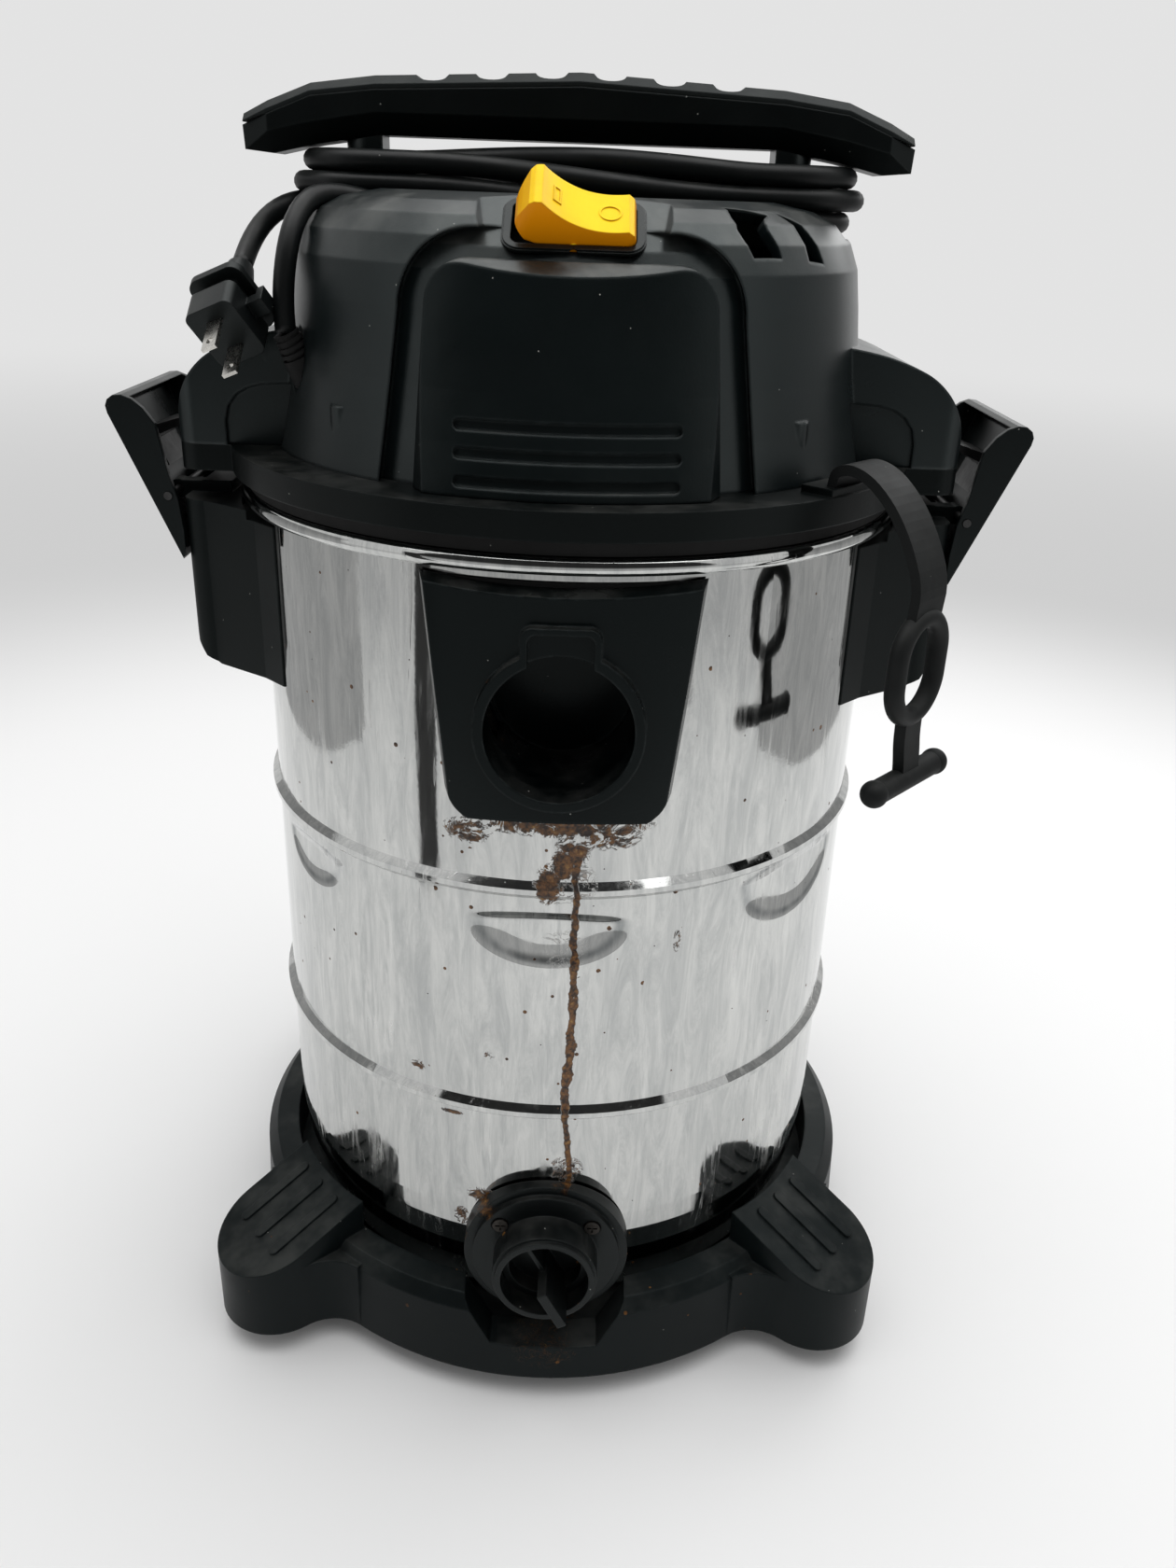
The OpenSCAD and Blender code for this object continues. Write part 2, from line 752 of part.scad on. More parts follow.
module lever_side() {
  polygon([[lever_face, -latch_down], [lever_face, latch_up - 1], [lever_face - 0.7, latch_up + 2],
    [lever_face - 2.6, latch_up + 4], [lever_face - 5.6, latch_up + 4.7], [lever_face - 9, latch_up + 3.6],
    [lever_face - 12.2, latch_up + 0.6], [lever_face - 14.8, latch_up - 4.4], [lever_face - 16.5, latch_up - 12], [-4.6, 8], [-3.9, 2], [-3.2, -3], [2.6, -latch_down + 6]]);
}

module latch_lever() {
  difference() {
    lever_frame() along_y(-latch_w, latch_w) lever_side();
    lever_frame() along_y(-latch_w + 2.6, latch_w - 2.6) polygon([[-40, -60], [lever_face - lever_t, -60],
      [lever_face - lever_t, latch_up], [lever_face - lever_t - 2, latch_up + 1.5], [-40, latch_up + 1.5]]);
    translate([pin_x, 0, pin_z]) rotate([90, 0, 0]) cylinder(h = 200, r = pin_r, center = true, $fn = 40);
    // tail stays clear of the bracket face
    translate([brk_x + move_gap - 60, -60, pin_z - 60]) cube([60, 120, 59.4 - 0.4]);
  }
}

module latch_lever_l() {
  color("#1c1f21") mirror([1, 0, 0]) latch_lever();
}

module latch_lever_r() {
  color("#1c1f21") latch_lever();
}

// steel hook inside the lever that closes over the lid ear
module latch_hook() {
  lever_frame() along_y(-hook_w, hook_w) polygon([[lever_face - lever_t, 10], [lever_face - lever_t, 27.5],
    [2, 28], [-12, 26.6], [-14, 25], [-14, 23.6], [1, 23.6], [2.6, 22], [2.6, 10]]);
}

module latch_hook_l() {
  color("#8f9396") mirror([1, 0, 0]) latch_hook();
}

module latch_hook_r() {
  color("#8f9396") latch_hook();
}

// ---- head ----

module head_seal() {
  color("#0e0f10")
  translate([0, 0, rim_top + move_gap]) difference() {
    cylinder(h = seal_t, r = rim_r - 3, $fn = 180);
    translate([0, 0, -1]) cylinder(h = seal_t + 2, r = drum_r - 2.5, $fn = 180);
  }
}

module ear_plan(d) {
  for (s = [0, 180]) rotate(s) {
    translate([60, -lobe_w - d]) square([lobe_x - 70, 2 * (lobe_w + d)]);
    translate([60, -lobe_w + 10 - d]) square([lobe_x - 60 + d, 2 * (lobe_w - 10 + d)]);
    for (y = [-1, 1]) translate([lobe_x - 10, y * (lobe_w - 10)]) circle(10 + d, $fn = 48);
  }
}

module lid() {
  color("#202325")
  difference() {
    union() {
      translate([0, 0, lid_z]) cylinder(h = lid_t, r = lid_r, $fn = 180);
      translate([0, 0, lid_z]) linear_extrude(lid_t) ear_plan(0);
      translate([0, 0, lid_z - 16]) cylinder(h = 17, r = drum_r - 4, $fn = 180);
      // strap anchor block on the flange edge
      at_az(strap_az) translate([slot_r - 10, -15, lid_z]) cube([14, 30, lid_t + 3]);
    }
    translate([0, 0, lid_z - 17]) cylinder(h = 17, r = drum_r - 7, $fn = 180);
    translate([0, 0, lid_z - 1]) cylinder(h = lid_t + 2, r = eye_r, $fn = 96);
    at_az(strap_az) translate([slot_r - slot_t / 2, -slot_w / 2, lid_z - 3]) cube([slot_t, slot_w, lid_t + 16]);
    for (a = [45:90:315]) at_az(a) translate([boss_r, 0, lid_z - 1]) {
      cylinder(h = lid_t + 2, r = 2.2, $fn = 24);
      cylinder(h = 4, r = 4.6, $fn = 32);
    }
  }
}

function lobe_curve() = concat([[90, 0]], smooth(lobe_line));

// everything the switch cuts into the cover, drawn in the switch frame
module switch_frame() {
  translate([0, switch_y, switch_z]) rotate([switch_tilt, 0, 0]) children();
}

module motor_cover() {
  color("#26292b")
  difference() {
    union() {
      difference() {
        union() {
          cover_solid(0);
          intersection() {
            translate([0, 0, deck_z]) linear_extrude(60) ear_plan(0);
            union() {
              along_y(-80, 80) translate([0, deck_z]) polygon(lobe_curve());
              mirror([1, 0, 0]) along_y(-80, 80) translate([0, deck_z]) polygon(lobe_curve());
            }
          }
        }
        cover_solid(-cover_wall);
        // hollow lobes
        intersection() {
          translate([0, 0, deck_z - 1]) linear_extrude(60) ear_plan(-3);
          union() for (m = [0, 1]) mirror([m, 0, 0])
            along_y(-80, 80) translate([-3, deck_z - 3.5]) polygon(lobe_curve());
        }
      }
      // floor of the cord channel and seat of the switch
      intersection() {
        cover_solid(-1);
        union() {
          translate([-cover_r, -channel_w - 3, channel_z - 4]) cube([2 * cover_r, 2 * channel_w + 6, 40]);
          switch_frame() translate([-40, -24, -4]) cube([80, 40, 30]);
        }
      }
      // wall behind the sunk band
      intersection() {
        along_y(-cover_r - 20, -50) arch(74, 66, deck_z, cover_top - 6, 30);
        difference() {
          cover_solid(-1);
          cover_solid(-band_deep - cover_wall + 1);
        }
      }
      // screw bosses
      for (a = [45:90:315]) at_az(a) translate([boss_r, 0, deck_z]) cylinder(h = 24, r = 6, $fn = 32);
    }
    // cord channel across the top
    translate([-cover_r - 5, -channel_w, channel_z]) cube([2 * cover_r + 10, 2 * channel_w, 40]);
    // sunk band round the front panel
    intersection() {
      along_y(-cover_r - 20, -50) arch(71, 63, deck_z - 1, cover_top - 9, 28);
      difference() {
        cover_solid(2);
        cover_solid(-band_deep);
      }
    }
    // switch pocket
    switch_frame() {
      linear_extrude(30) polygon([[-30, -40], [30, -40], [30, -17], [36, 30], [-36, 30], [-30, -17]]);
      for (m = [0, 1]) mirror([m, 0, 0]) translate([30, -17, 0]) rotate([0, 0, -7.3]) rotate([0, 32, 0])
        translate([-12, -30, 0]) cube([12, 80, 30]);
      translate([0, 0, -30]) linear_extrude(40) round_rect(rocker_l + 2, 12.8, 5);
    }
    // cooling slots in the right front shoulder
    at_az(vent_az) translate([cover_r - 22, 0, deck_z + 0.905 * cover_h]) rotate([0, 48, 0])
      translate([0, 0, -14]) linear_extrude(44) {
        polygon([[-14.6, 0], [-7, -2.8], [-0.3, -4.3], [5, -3], [10.4, -0.5], [10, 13.5], [3.5, 12], [-1, 10.9], [-4.5, 11.4],
          [-7.5, 13.5], [-10, 17]]);
        polygon([[-12.5, 24], [-9, 25.6], [-5, 26.8], [0, 28], [9, 29.4], [8, 39.5], [2.6, 37], [-3, 34.4], [-8, 30.5]]);
      }
    // cooling slots at the back
    for (x = [-5:5]) along_y(60, cover_r + 10)
      translate([x * 11, deck_z + 14]) union() {
        square([4, 16], center = true);
        translate([0, 8]) circle(2, $fn = 24);
        translate([0, -8]) circle(2, $fn = 24);
      }
    // outlet of the blower port
    translate([0, 60, deck_z + 54]) rotate([-90, 0, 0]) cylinder(h = 100, r = blower_r + 3.5, $fn = 72);
    // catch pockets for the latch hooks
    for (m = [0, 1]) mirror([m, 0, 0]) translate([lobe_x - 7, -hook_w - 3, deck_z]) cube([20, 2 * hook_w + 6, 16]);
    // sunk fields on the front of the lobes
    for (m = [0, 1]) mirror([m, 0, 0]) along_y(-lobe_w - 5, -lobe_w + 2) translate([0, deck_z]) polygon([[100, -1],
      [lobe_x - 22, -1], [lobe_x - 22, 10], [lobe_x - 23.5, 16], [lobe_x - 27, 20.5], [lobe_x - 32, 23.5], [lobe_x - 38, 25],
      [100, 27]]);
    // screw holes
    for (a = [45:90:315]) at_az(a) translate([boss_r, 0, deck_z - 1]) cylinder(h = 20, r = 1.9, $fn = 24);
    for (x = [-1, 1]) translate([x * post_x, 0, channel_z - 20]) cylinder(h = 40, r = 2.2, $fn = 24);
    // cord outlet
    gland_frame() translate([0, 0, -gland_len - 10]) cylinder(h = gland_len + 60, r = 6.4 + move_gap, $fn = 40);
  }
}

module front_panel() {
  color("#1f2224")
  difference() {
    intersection() {
      hull() {
        along_y(-cover_r + 13, -cover_r + 30) arch(57, 52, panel_z, panel_top, 15);
        along_y(-cover_r - 9, -cover_r - 8.5) arch(47, 42.5, panel_z, panel_top - 11, 9);
      }
      cover_solid(panel_out);
    }
    cover_solid(-band_deep + seat_gap);
    // three grooves
    difference() {
      for (i = [0:2]) along_y(-cover_r - 20, -60) translate([0, deck_z + 5.5 + 9.7 * i]) stadium(-39, 39, 2);
      cover_solid(panel_out - 1.6);
    }
    // faceted finger notch in the top bevel
    translate([0, -cover_r - panel_out, panel_top - 21]) rotate([-28, 0, 0]) translate([0, 0, -2]) linear_extrude(34)
      polygon([[-17.3, 0], [17.3, 0], [36.2, -12], [-36.2, -12]]);
  }
}

module blower_port() {
  color("#1d2022")
  translate([0, 0, deck_z + 54]) rotate([-90, 0, 0]) difference() {
    union() {
      translate([0, 0, cover_r - 17]) cylinder(h = 28, r = blower_r + 3.4, $fn = 72);
      intersection() {
        translate([0, 0, cover_r - 17]) cylinder(h = 19, r = blower_r + 9, $fn = 72);
        rotate([90, 0, 0]) translate([0, 0, -deck_z - 54]) difference() {
          translate([-60, 20, deck_z]) cube([120, 160, cover_h]);
          cover_solid(0);
        }
      }
    }
    cylinder(h = cover_r + 20, r = blower_r, $fn = 72);
  }
}

module switch_body() {
  color("#151617")
  switch_frame() {
    translate([-17, -9.5, body_z - 20]) cube([34, 19, 20]);
    translate([0, 0, body_z - 3]) linear_extrude(3) round_rect(rocker_l + 1.8, 12.6, 5);
  }
}

module switch_bezel() {
  color("#131415")
  switch_frame() difference() {
    union() {
      linear_extrude(bezel_z - 0.6) round_rect(rocker_l + 4, 14.4, 7);
      linear_extrude(bezel_z) round_rect(rocker_l + 3.4, 13.8, 6.4);
      translate([0, 0, body_z]) linear_extrude(-body_z + 1) round_rect(rocker_l + 1.9, 12.7, 5);
    }
    translate([0, 0, -20]) linear_extrude(40) round_rect(rocker_l + 0.6, 11.2, 3.2);
    rotate([90, 0, 0]) cylinder(h = 40, r = rocker_pin_r + run_fit, center = true, $fn = 40);
  }
}

// height of the rocker's hollow top at x
function wave(x) = rocker_top + rocker_wave * pow(x / 16, 2);

// one end of the rocker, kept inside the circle it swings on
rocker_end = [
  [rocker_l - 3.2, rocker_top + rocker_wave - 0.9],
  [rocker_l - 1.9, rocker_top + 1.4],
  [rocker_l - 0.7, rocker_top - 3.2],
  [rocker_l - 0.1, 2],
  [rocker_l, -0.8],
  [rocker_l - 4.6, -3.4]
];

// rocker drawn level, turned to the off position about the switch Y axis
module switch_rocker() {
  color("#f0b400")
  switch_frame() rotate([0, rocker_rest, 0]) intersection() {
    along_y(-10.4, 10.4) polygon(concat(
      [for (x = [-16:2:16]) [x, wave(x)]],
      rocker_end,
      [for (i = [len(rocker_end) - 1:-1:0]) [-rocker_end[i][0], rocker_end[i][1]]]));
    translate([0, 0, -10]) linear_extrude(40) round_rect(rocker_l, 10.4, 4.6);
  }
  color("#f0b400")
  switch_frame() rotate([0, rocker_rest, 0]) {
    translate([-10, 0, wave(10) - 0.4]) rotate([0, 17.8, 0]) difference() {
      cube([3.4, 8, 1.6], center = true);
      cube([2, 6.6, 4], center = true);
    }
    translate([10, 0, wave(10) - 0.4]) rotate([0, -17.8, 0]) difference() {
      cylinder(h = 1.6, r = 4.1, center = true, $fn = 48);
      cylinder(h = 4, r = 3.3, center = true, $fn = 48);
    }
    for (y = [-1, 1]) translate([0, y * 9, 0]) rotate([-90 * y, 0, 0]) cylinder(h = 3.2, r = rocker_pin_r, $fn = 40);
  }
}

// ---- handle ----

// post outline with its outer end round, seen from above, outwards is +X
module post_plan() {
  intersection() {
    translate([(post_w - post_d) / 2, 0]) union() {
      circle(post_d / 2, $fn = 64);
      translate([-post_d, -post_d / 2]) square([post_d, post_d]);
    }
    translate([-post_w / 2, -post_d]) square([post_w, 2 * post_d]);
  }
}

module handle_posts() {
  color("#2b2f31")
  for (x = [-1, 1]) translate([x * post_x, 0, channel_z]) difference() {
    mirror([x < 0 ? 1 : 0, 0, 0]) linear_extrude(handle_gap + 6) post_plan();
    translate([0, 0, -1]) cylinder(h = 26, r = 2, $fn = 24);
  }
}

// thin cross-section of the handle at station s: lower half widths, seam half width
module handle_core(s) {
  translate([handle_l * s[0], 0, handle_z]) rotate([90, 0, 90]) linear_extrude(0.4, center = true)
    polygon([[-10, -s[2]], [10, -s[2]], [handle_d, 8 - s[2]], [handle_d, 18 - s[1]],
      [-handle_d, 18 - s[1]], [-handle_d, 8 - s[2]]]);
}

module handle_tip(s) {
  translate([handle_l * s[0] - 0.2, 0, handle_z]) rotate([90, 0, 90]) linear_extrude(0.4, center = true)
    polygon([[-handle_d + 6, -s[2] - 1.5], [handle_d - 6, -s[2] - 1.5], [handle_d - 4, 18 - s[1]], [-handle_d + 4, 18 - s[1]]]);
}

module handle_body() {
  color("#1c1f21")
  difference() {
    union() {
      hull() for (m = [0, 1]) mirror([m, 0, 0]) {
        handle_core(handle_line[0]);
        handle_core(handle_line[1]);
      }
      for (m = [0, 1]) mirror([m, 0, 0]) {
        hull() {
          handle_core(handle_line[1]);
          handle_core(handle_line[2]);
        }
        hull() {
          handle_core(handle_line[2]);
          handle_core(handle_line[3]);
        }
        hull() {
          handle_core(handle_line[3]);
          handle_tip(handle_line[4]);
        }
      }
    }
    for (x = [-1, 1]) translate([x * post_x - post_w / 2 - 0.05, -post_d / 2 - 0.05, channel_z])
      cube([post_w + 0.1, post_d + 0.1, handle_gap + 6]);
  }
}

// slope of the grip's top from the middle outwards
grip_fall = (handle_line[1][1] + 0.2) / (handle_line[1][0] * handle_l);

// thin cross-section of the grip cap above the seam
module grip_slab(s, d, h) {
  translate([handle_l * s[0] - d, 0, handle_z + 18]) rotate([90, 0, 90]) linear_extrude(0.4, center = true)
    polygon([[-handle_d + d, -s[1]], [-handle_d + d, h * 0.35 - s[1]], [-handle_d + 4, h - s[1]],
      [handle_d - 4, h - s[1]], [handle_d - d, h * 0.35 - s[1]], [handle_d - d, -s[1]]]);
}

module handle_grip() {
  color("#26292b")
  difference() {
    grip_form();
    // shallow finger dips across the top
    for (i = [-2.5:2.5]) along_y(-handle_d - 5, handle_d + 5)
      translate([i * grip_pitch, handle_z + 23.2 - grip_fall * abs(i) * grip_pitch])
      polygon(smooth([[-9, 2], [-7, 0.6], [-4.5, -2.2], [4.5, -2.2], [7, 0.6], [9, 2]]));
    // seat on the body along the seam
    along_y(-handle_d - 5, handle_d + 5) translate([0, handle_z + 18 + seat_gap])
      polygon(concat([for (s = handle_line) [handle_l * s[0] + (s[0] == 1 ? 2 : 0), -s[1]]], [[handle_l + 2, -60], [-handle_l - 2, -60]],
        [for (i = [len(handle_line) - 1:-1:1]) [-handle_l * handle_line[i][0] - (i == 4 ? 2 : 0), -handle_line[i][1]]]));
  }
}

module grip_form() {
  union() {
    hull() for (m = [0, 1]) mirror([m, 0, 0]) {
      grip_slab(handle_line[0], 0, 5.2);
      grip_slab(handle_line[1], 0, 5);
    }
    for (m = [0, 1]) mirror([m, 0, 0]) {
      hull() {
        grip_slab(handle_line[1], 0, 5);
        grip_slab(handle_line[2], 0, 4.6);
      }
      hull() {
        grip_slab(handle_line[2], 0, 4.6);
        grip_slab(handle_line[3], 0, 4.8);
      }
      hull() {
        grip_slab(handle_line[3], 0, 4.8);
        grip_slab(handle_line[4], 1, 4);
      }
    }
  }
}

module handle_screws() {
  color("#8a8d90")
  for (x = [-1, 1]) translate([x * post_x, 0, channel_z - 6]) {
    cylinder(h = 24, r = 1.9, $fn = 24);
    cylinder(h = 2, r = 4, $fn = 32);
  }
}

// ---- cord ----

function unit(v) = v / norm(v);
function heading(p, i) = unit(p[min(i + 1, len(p) - 1)] - p[max(i - 1, 0)]);
function across(t) = unit(cross(t, [1, -1, 1]));
function ring_at(p, i, r, n) = [for (k = [0:n - 1])
  p[i] + r * (cos(360 * k / n) * across(heading(p, i)) + sin(360 * k / n) * cross(across(heading(p, i)), heading(p, i)))];

// closed round tube through the points of a route
module cord_tube(p, r, n) {
  rings = len(p);
  polyhedron(
    points = [for (i = [0:rings - 1]) each ring_at(p, i, r, n)],
    faces = concat(
      [[for (k = [0:n - 1]) k]],
      [[for (k = [0:n - 1]) rings * n - 1 - k]],
      [for (i = [0:rings - 2], k = [0:n - 1])
        [i * n + k, (i + 1) * n + k, (i + 1) * n + (k + 1) % n, i * n + (k + 1) % n]]));
}

module cord_lead() {
  color("#161819") cord_tube(lead_path, cord_d / 2, 12);
}

module cord_tail() {
  color("#161819") cord_tube(tail_path, cord_d / 2, 12);
}

// three layers of cord wound round the posts
module cord_hank() {
  color("#161819")
  translate([0, 0, channel_z]) difference() {
    union() {
      for (i = [0:2]) translate([0, 0, i * cord_d + 1]) linear_extrude(cord_d - 2)
        stadium(-hank_l + hank_w, hank_l - hank_w, hank_w);
      linear_extrude(3 * cord_d) stadium(-hank_l + hank_w, hank_l - hank_w, hank_w - 1.4);
    }
    translate([0, 0, -1]) linear_extrude(3 * cord_d + 2)
      stadium(-post_x - (post_w - post_d) / 2, post_x + (post_w - post_d) / 2, post_d / 2 + 1);
  }
}

module gland_frame() {
  at_az(gland_az) translate([gland_r, 0, gland_z]) rotate([0, gland_lean, 0]) children();
}

module cord_gland() {
  color("#131415")
  gland_frame() difference() {
    union() {
      translate([0, 0, -gland_len]) cylinder(h = gland_len * 0.45, r = 6.4, $fn = 40);
      translate([0, 0, -gland_len * 0.55]) cylinder(h = gland_len * 0.55, r1 = 6.4, r2 = 5.2, $fn = 40);
    }
    for (i = [0:3]) translate([0, 0, -2.2 - i * 2.6]) difference() {
      cylinder(h = 1.1, r = 8, $fn = 40);
      translate([0, 0, -1]) cylinder(h = 3, r = 4.9, $fn = 40);
    }
  }
}

module plug() {
  color("#141617")
  translate(plug_at) rotate(plug_turn) {
    difference() {
      translate([0, 0, -13]) linear_extrude(13) round_rect(13, 10.5, 3.5);
      for (x = [-1, 1]) translate([x * 6.35, 0, -2]) cube([1.6, 6.4, 6], center = true);
    }
    translate([0, 0, -19]) linear_extrude(6) round_rect(10, 8, 3);
    hull() {
      translate([0, 0, -22.5]) linear_extrude(3.5) round_rect(14.5, 12, 5);
      translate([0, 0, -26]) linear_extrude(1) round_rect(10, 9, 4);
    }
    translate([0, 0, -42]) cylinder(h = 17, r1 = 5.4, r2 = 7.6, $fn = 40);
    // open cord hook beside the body
    translate([-3.5, 9, -13]) cube([7, 8.5, 4.5]);
    translate([-3.5, 14.5, -16.5]) cube([7, 3, 5]);
  }
}

module plug_blades() {
  color("#b9bbbd")
  translate(plug_at) rotate(plug_turn) for (x = [-1, 1]) difference() {
    translate([x * 6.35 - 0.75, -3.15, -4.9]) cube([1.5, 6.3, 21]);
    translate([x * 6.35, 0, 12]) rotate([0, 90, 0]) cylinder(h = 4, r = 1.5, center = true, $fn = 24);
    for (y = [-1, 1]) translate([x * 6.35, y * 4.6, 17]) rotate([y * 30, 0, 0]) cube([4, 3, 6], center = true);
  }
}

// ---- strap ----

function left_of(p, i) = let (t = unit(p[min(i + 1, len(p) - 1)] - p[max(i - 1, 0)])) [-t[1], t[0]];
function band(p, w) = concat(
  [for (i = [0:len(p) - 1]) p[i] + left_of(p, i) * w / 2],
  [for (i = [len(p) - 1:-1:0]) p[i] - left_of(p, i) * w / 2]);

strap_ring_x = drum_r + 46;
strap_ring_z = rim_z - 40;
strap_bar_z = rim_z - 88;

module strap() {
  color("#1a1c1d")
  at_az(strap_az) {
    rotate([90, 0, 0]) linear_extrude(strap_w, center = true) polygon(band(smooth([
      [slot_r, lid_z + 0.3], [slot_r, deck_z + 6], [slot_r + 2.5, deck_z + 9.5], [slot_r + 9, deck_z + 10.5],
      [slot_r + 18, deck_z + 7], [slot_r + 28, deck_z - 2], [slot_r + 36, deck_z - 14],
      [slot_r + 42, deck_z - 28], [strap_ring_x, strap_ring_z + 20]]), strap_t));
    translate([strap_ring_x, 0, strap_ring_z]) rotate([90, 0, 90]) {
      for (m = [0, 180]) rotate(m) translate([0, 5, 0]) rotate_extrude(angle = 180, $fn = 72) translate([15, 0]) circle(4, $fn = 32);
      for (x = [-15, 15]) translate([x, 5, 0]) rotate([90, 0, 0]) cylinder(h = 10, r = 4, $fn = 32);
    }
    translate([strap_ring_x - 2.5, 0, strap_ring_z]) rotate([90, 0, 90]) linear_extrude(5)
      polygon(band(smooth([[0, -21], [0.5, -30], [2.5, -38], [4, strap_bar_z - strap_ring_z]]), 12));
    translate([strap_ring_x, 4, strap_bar_z]) rotate([90, 0, 0]) {
      cylinder(h = 47, r = 5, center = true, $fn = 40);
      for (z = [-23.5, 23.5]) translate([0, 0, z]) sphere(5.6, $fn = 40);
    }
  }
}

// ---- inside the head ----

module cover_screws() {
  color("#8a8d90")
  for (a = [45:90:315]) at_az(a) translate([boss_r, 0, lid_z + 0.6]) {
    cylinder(h = lid_t + 14, r = 1.85, $fn = 24);
    cylinder(h = 2.4, r = 4.2, $fn = 32);
  }
}

module fan_housing() {
  color("#5d6163")
  translate([0, 0, deck_z]) difference() {
    cylinder(h = 32, r = fan_r + 6, $fn = 120);
    translate([0, 0, 3]) cylinder(h = 26, r = fan_r + 3, $fn = 120);
    translate([0, 0, -1]) cylinder(h = 5, r = eye_r + 2, $fn = 72);
    translate([0, 0, 20]) cylinder(h = 20, r = shaft_r + 5, $fn = 48);
    for (a = [20:40:340]) at_az(a) translate([fan_r, -6, 10]) cube([10, 12, 12]);
  }
}

// backward-curved suction fan between two discs
module fan() {
  color("#a9acae")
  translate([0, 0, deck_z + 5]) difference() {
    union() {
      cylinder(h = 1.6, r = fan_r, $fn = 120);
      translate([0, 0, 12.4]) cylinder(h = 1.6, r = fan_r, $fn = 120);
      cylinder(h = 18, r = shaft_r + 4, $fn = 48);
      for (a = [0:45:315]) rotate([0, 0, a]) translate([eye_r + 3, -20, 0]) intersection() {
        translate([0, 0, 1]) linear_extrude(12) difference() {
          circle(32, $fn = 120);
          circle(30.4, $fn = 120);
        }
        translate([12, 12, 0]) cube([30, 40, 20]);
        translate([-eye_r - 3, 20, 0]) cylinder(h = 20, r = fan_r - 1, $fn = 120);
      }
    }
    translate([0, 0, -1]) difference() {
      cylinder(h = 4, r = eye_r + 2, $fn = 72);
      cylinder(h = 5, r = shaft_r + 4, $fn = 48);
    }
    translate([0, 0, -2]) cylinder(h = 30, r = shaft_r, $fn = 48);
  }
}

module motor() {
  color("#6d7173")
  translate([0, 0, deck_z + 32]) difference() {
    union() {
      cylinder(h = 6, r = motor_r + 8, $fn = 96);
      cylinder(h = 40, r = motor_r, $fn = 96);
      cylinder(h = 46, r = 15, $fn = 64);
    }
    for (a = [0:30:330]) at_az(a) translate([motor_r - 3, -4, 10]) cube([6, 8, 24]);
    translate([0, 0, -1]) cylinder(h = 60, r = shaft_r + run_fit, $fn = 48);
  }
}

module motor_shaft() {
  color("#c0c2c4")
  translate([0, 0, deck_z + 4]) cylinder(h = 72, r = shaft_r, $fn = 48);
}

module filter_cage() {
  color("#2b2e30")
  difference() {
    union() {
      translate([0, 0, cage_bot]) cylinder(h = cage_h, r = cage_r, $fn = 96);
      translate([0, 0, cage_top - 3]) cylinder(h = 3, r = cage_r + 6, $fn = 96);
      translate([0, 0, cage_bot - 18]) cylinder(h = 19, r = 5, $fn = 40);
    }
    difference() {
      translate([0, 0, cage_bot + 3]) cylinder(h = cage_h, r = cage_r - 3, $fn = 96);
      for (a = [0:90:270]) at_az(a + 15) translate([ball_r + 1.5, -1.2, cage_bot]) cube([cage_r, 2.4, cage_h + 5]);
    }
    for (i = [0:2], a = [0:30:330]) at_az(a) translate([cage_r - 6, -8, cage_bot + 10 + 32 * i]) cube([12, 16, 25]);
  }
}

// pleated cartridge with moulded end rings
module filter() {
  color("#dcd9cf")
  difference() {
    union() {
      translate([0, 0, cage_bot + 5]) linear_extrude(cage_h - 15)
        polygon([for (i = [0:79]) (i % 2 == 0 ? filter_r - 1 : filter_r - 8) * [cos(i * 4.5), sin(i * 4.5)]]);
      translate([0, 0, cage_bot]) cylinder(h = 6, r = filter_r, $fn = 96);
      translate([0, 0, cage_top - 11]) cylinder(h = 6, r = filter_r, $fn = 96);
    }
    translate([0, 0, cage_bot - 1]) cylinder(h = cage_h + 2, r = cage_r + move_gap, $fn = 96);
  }
}

module filter_nut() {
  color("#17191b")
  difference() {
    union() {
      translate([0, 0, cage_bot - 4]) cylinder(h = 4, r = filter_r - 6, $fn = 96);
      translate([0, 0, cage_bot - 14]) cylinder(h = 11, r = 12, $fn = 64);
      for (a = [0:60:120]) rotate([0, 0, a]) translate([-22, -1.5, cage_bot - 12]) cube([44, 3, 9]);
    }
    translate([0, 0, cage_bot - 20]) cylinder(h = 30, r = 5 + run_fit, $fn = 40);
    difference() {
      translate([0, 0, cage_bot - 0.3]) cylinder(h = 2, r = cage_r + 0.4, $fn = 96);
    }
  }
}

module float_ball() {
  color("#d8dadb")
  translate([0, 0, ball_low]) sphere(ball_r, $fn = 72);
}

drum();
drum_front();
drum_bottom();
base();
caster_fork(0);  // caster_fork_fl
caster_fork(1);  // caster_fork_fr
caster_fork(2);  // caster_fork_rr
caster_fork(3);  // caster_fork_rl
caster_wheel(0);  // caster_wheel_fl
caster_wheel(1);  // caster_wheel_fr
caster_wheel(2);  // caster_wheel_rr
caster_wheel(3);  // caster_wheel_rl
inlet_plate();
inlet_gasket();
inlet_deflector();
drain_gasket();
drain_spout();
drain_screws();
drain_cap();
bracket_l();
bracket_r();
bracket_rivets();
latch_pin_l();
latch_pin_r();
latch_lever_l();
latch_lever_r();
latch_hook_l();
latch_hook_r();
head_seal();
lid();
motor_cover();
front_panel();
blower_port();
switch_body();
switch_bezel();
switch_rocker();
handle_posts();
handle_body();
handle_grip();
handle_screws();
cord_gland();
cord_lead();
cord_hank();
cord_tail();
plug();
plug_blades();
strap();
cover_screws();
fan_housing();
fan();
motor();
motor_shaft();
filter_cage();
filter();
filter_nut();
float_ball();
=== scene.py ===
"""Shop vacuum: finishes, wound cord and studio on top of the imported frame. Metres, +Z up."""
import math

import bpy
from mathutils import Matrix, Vector


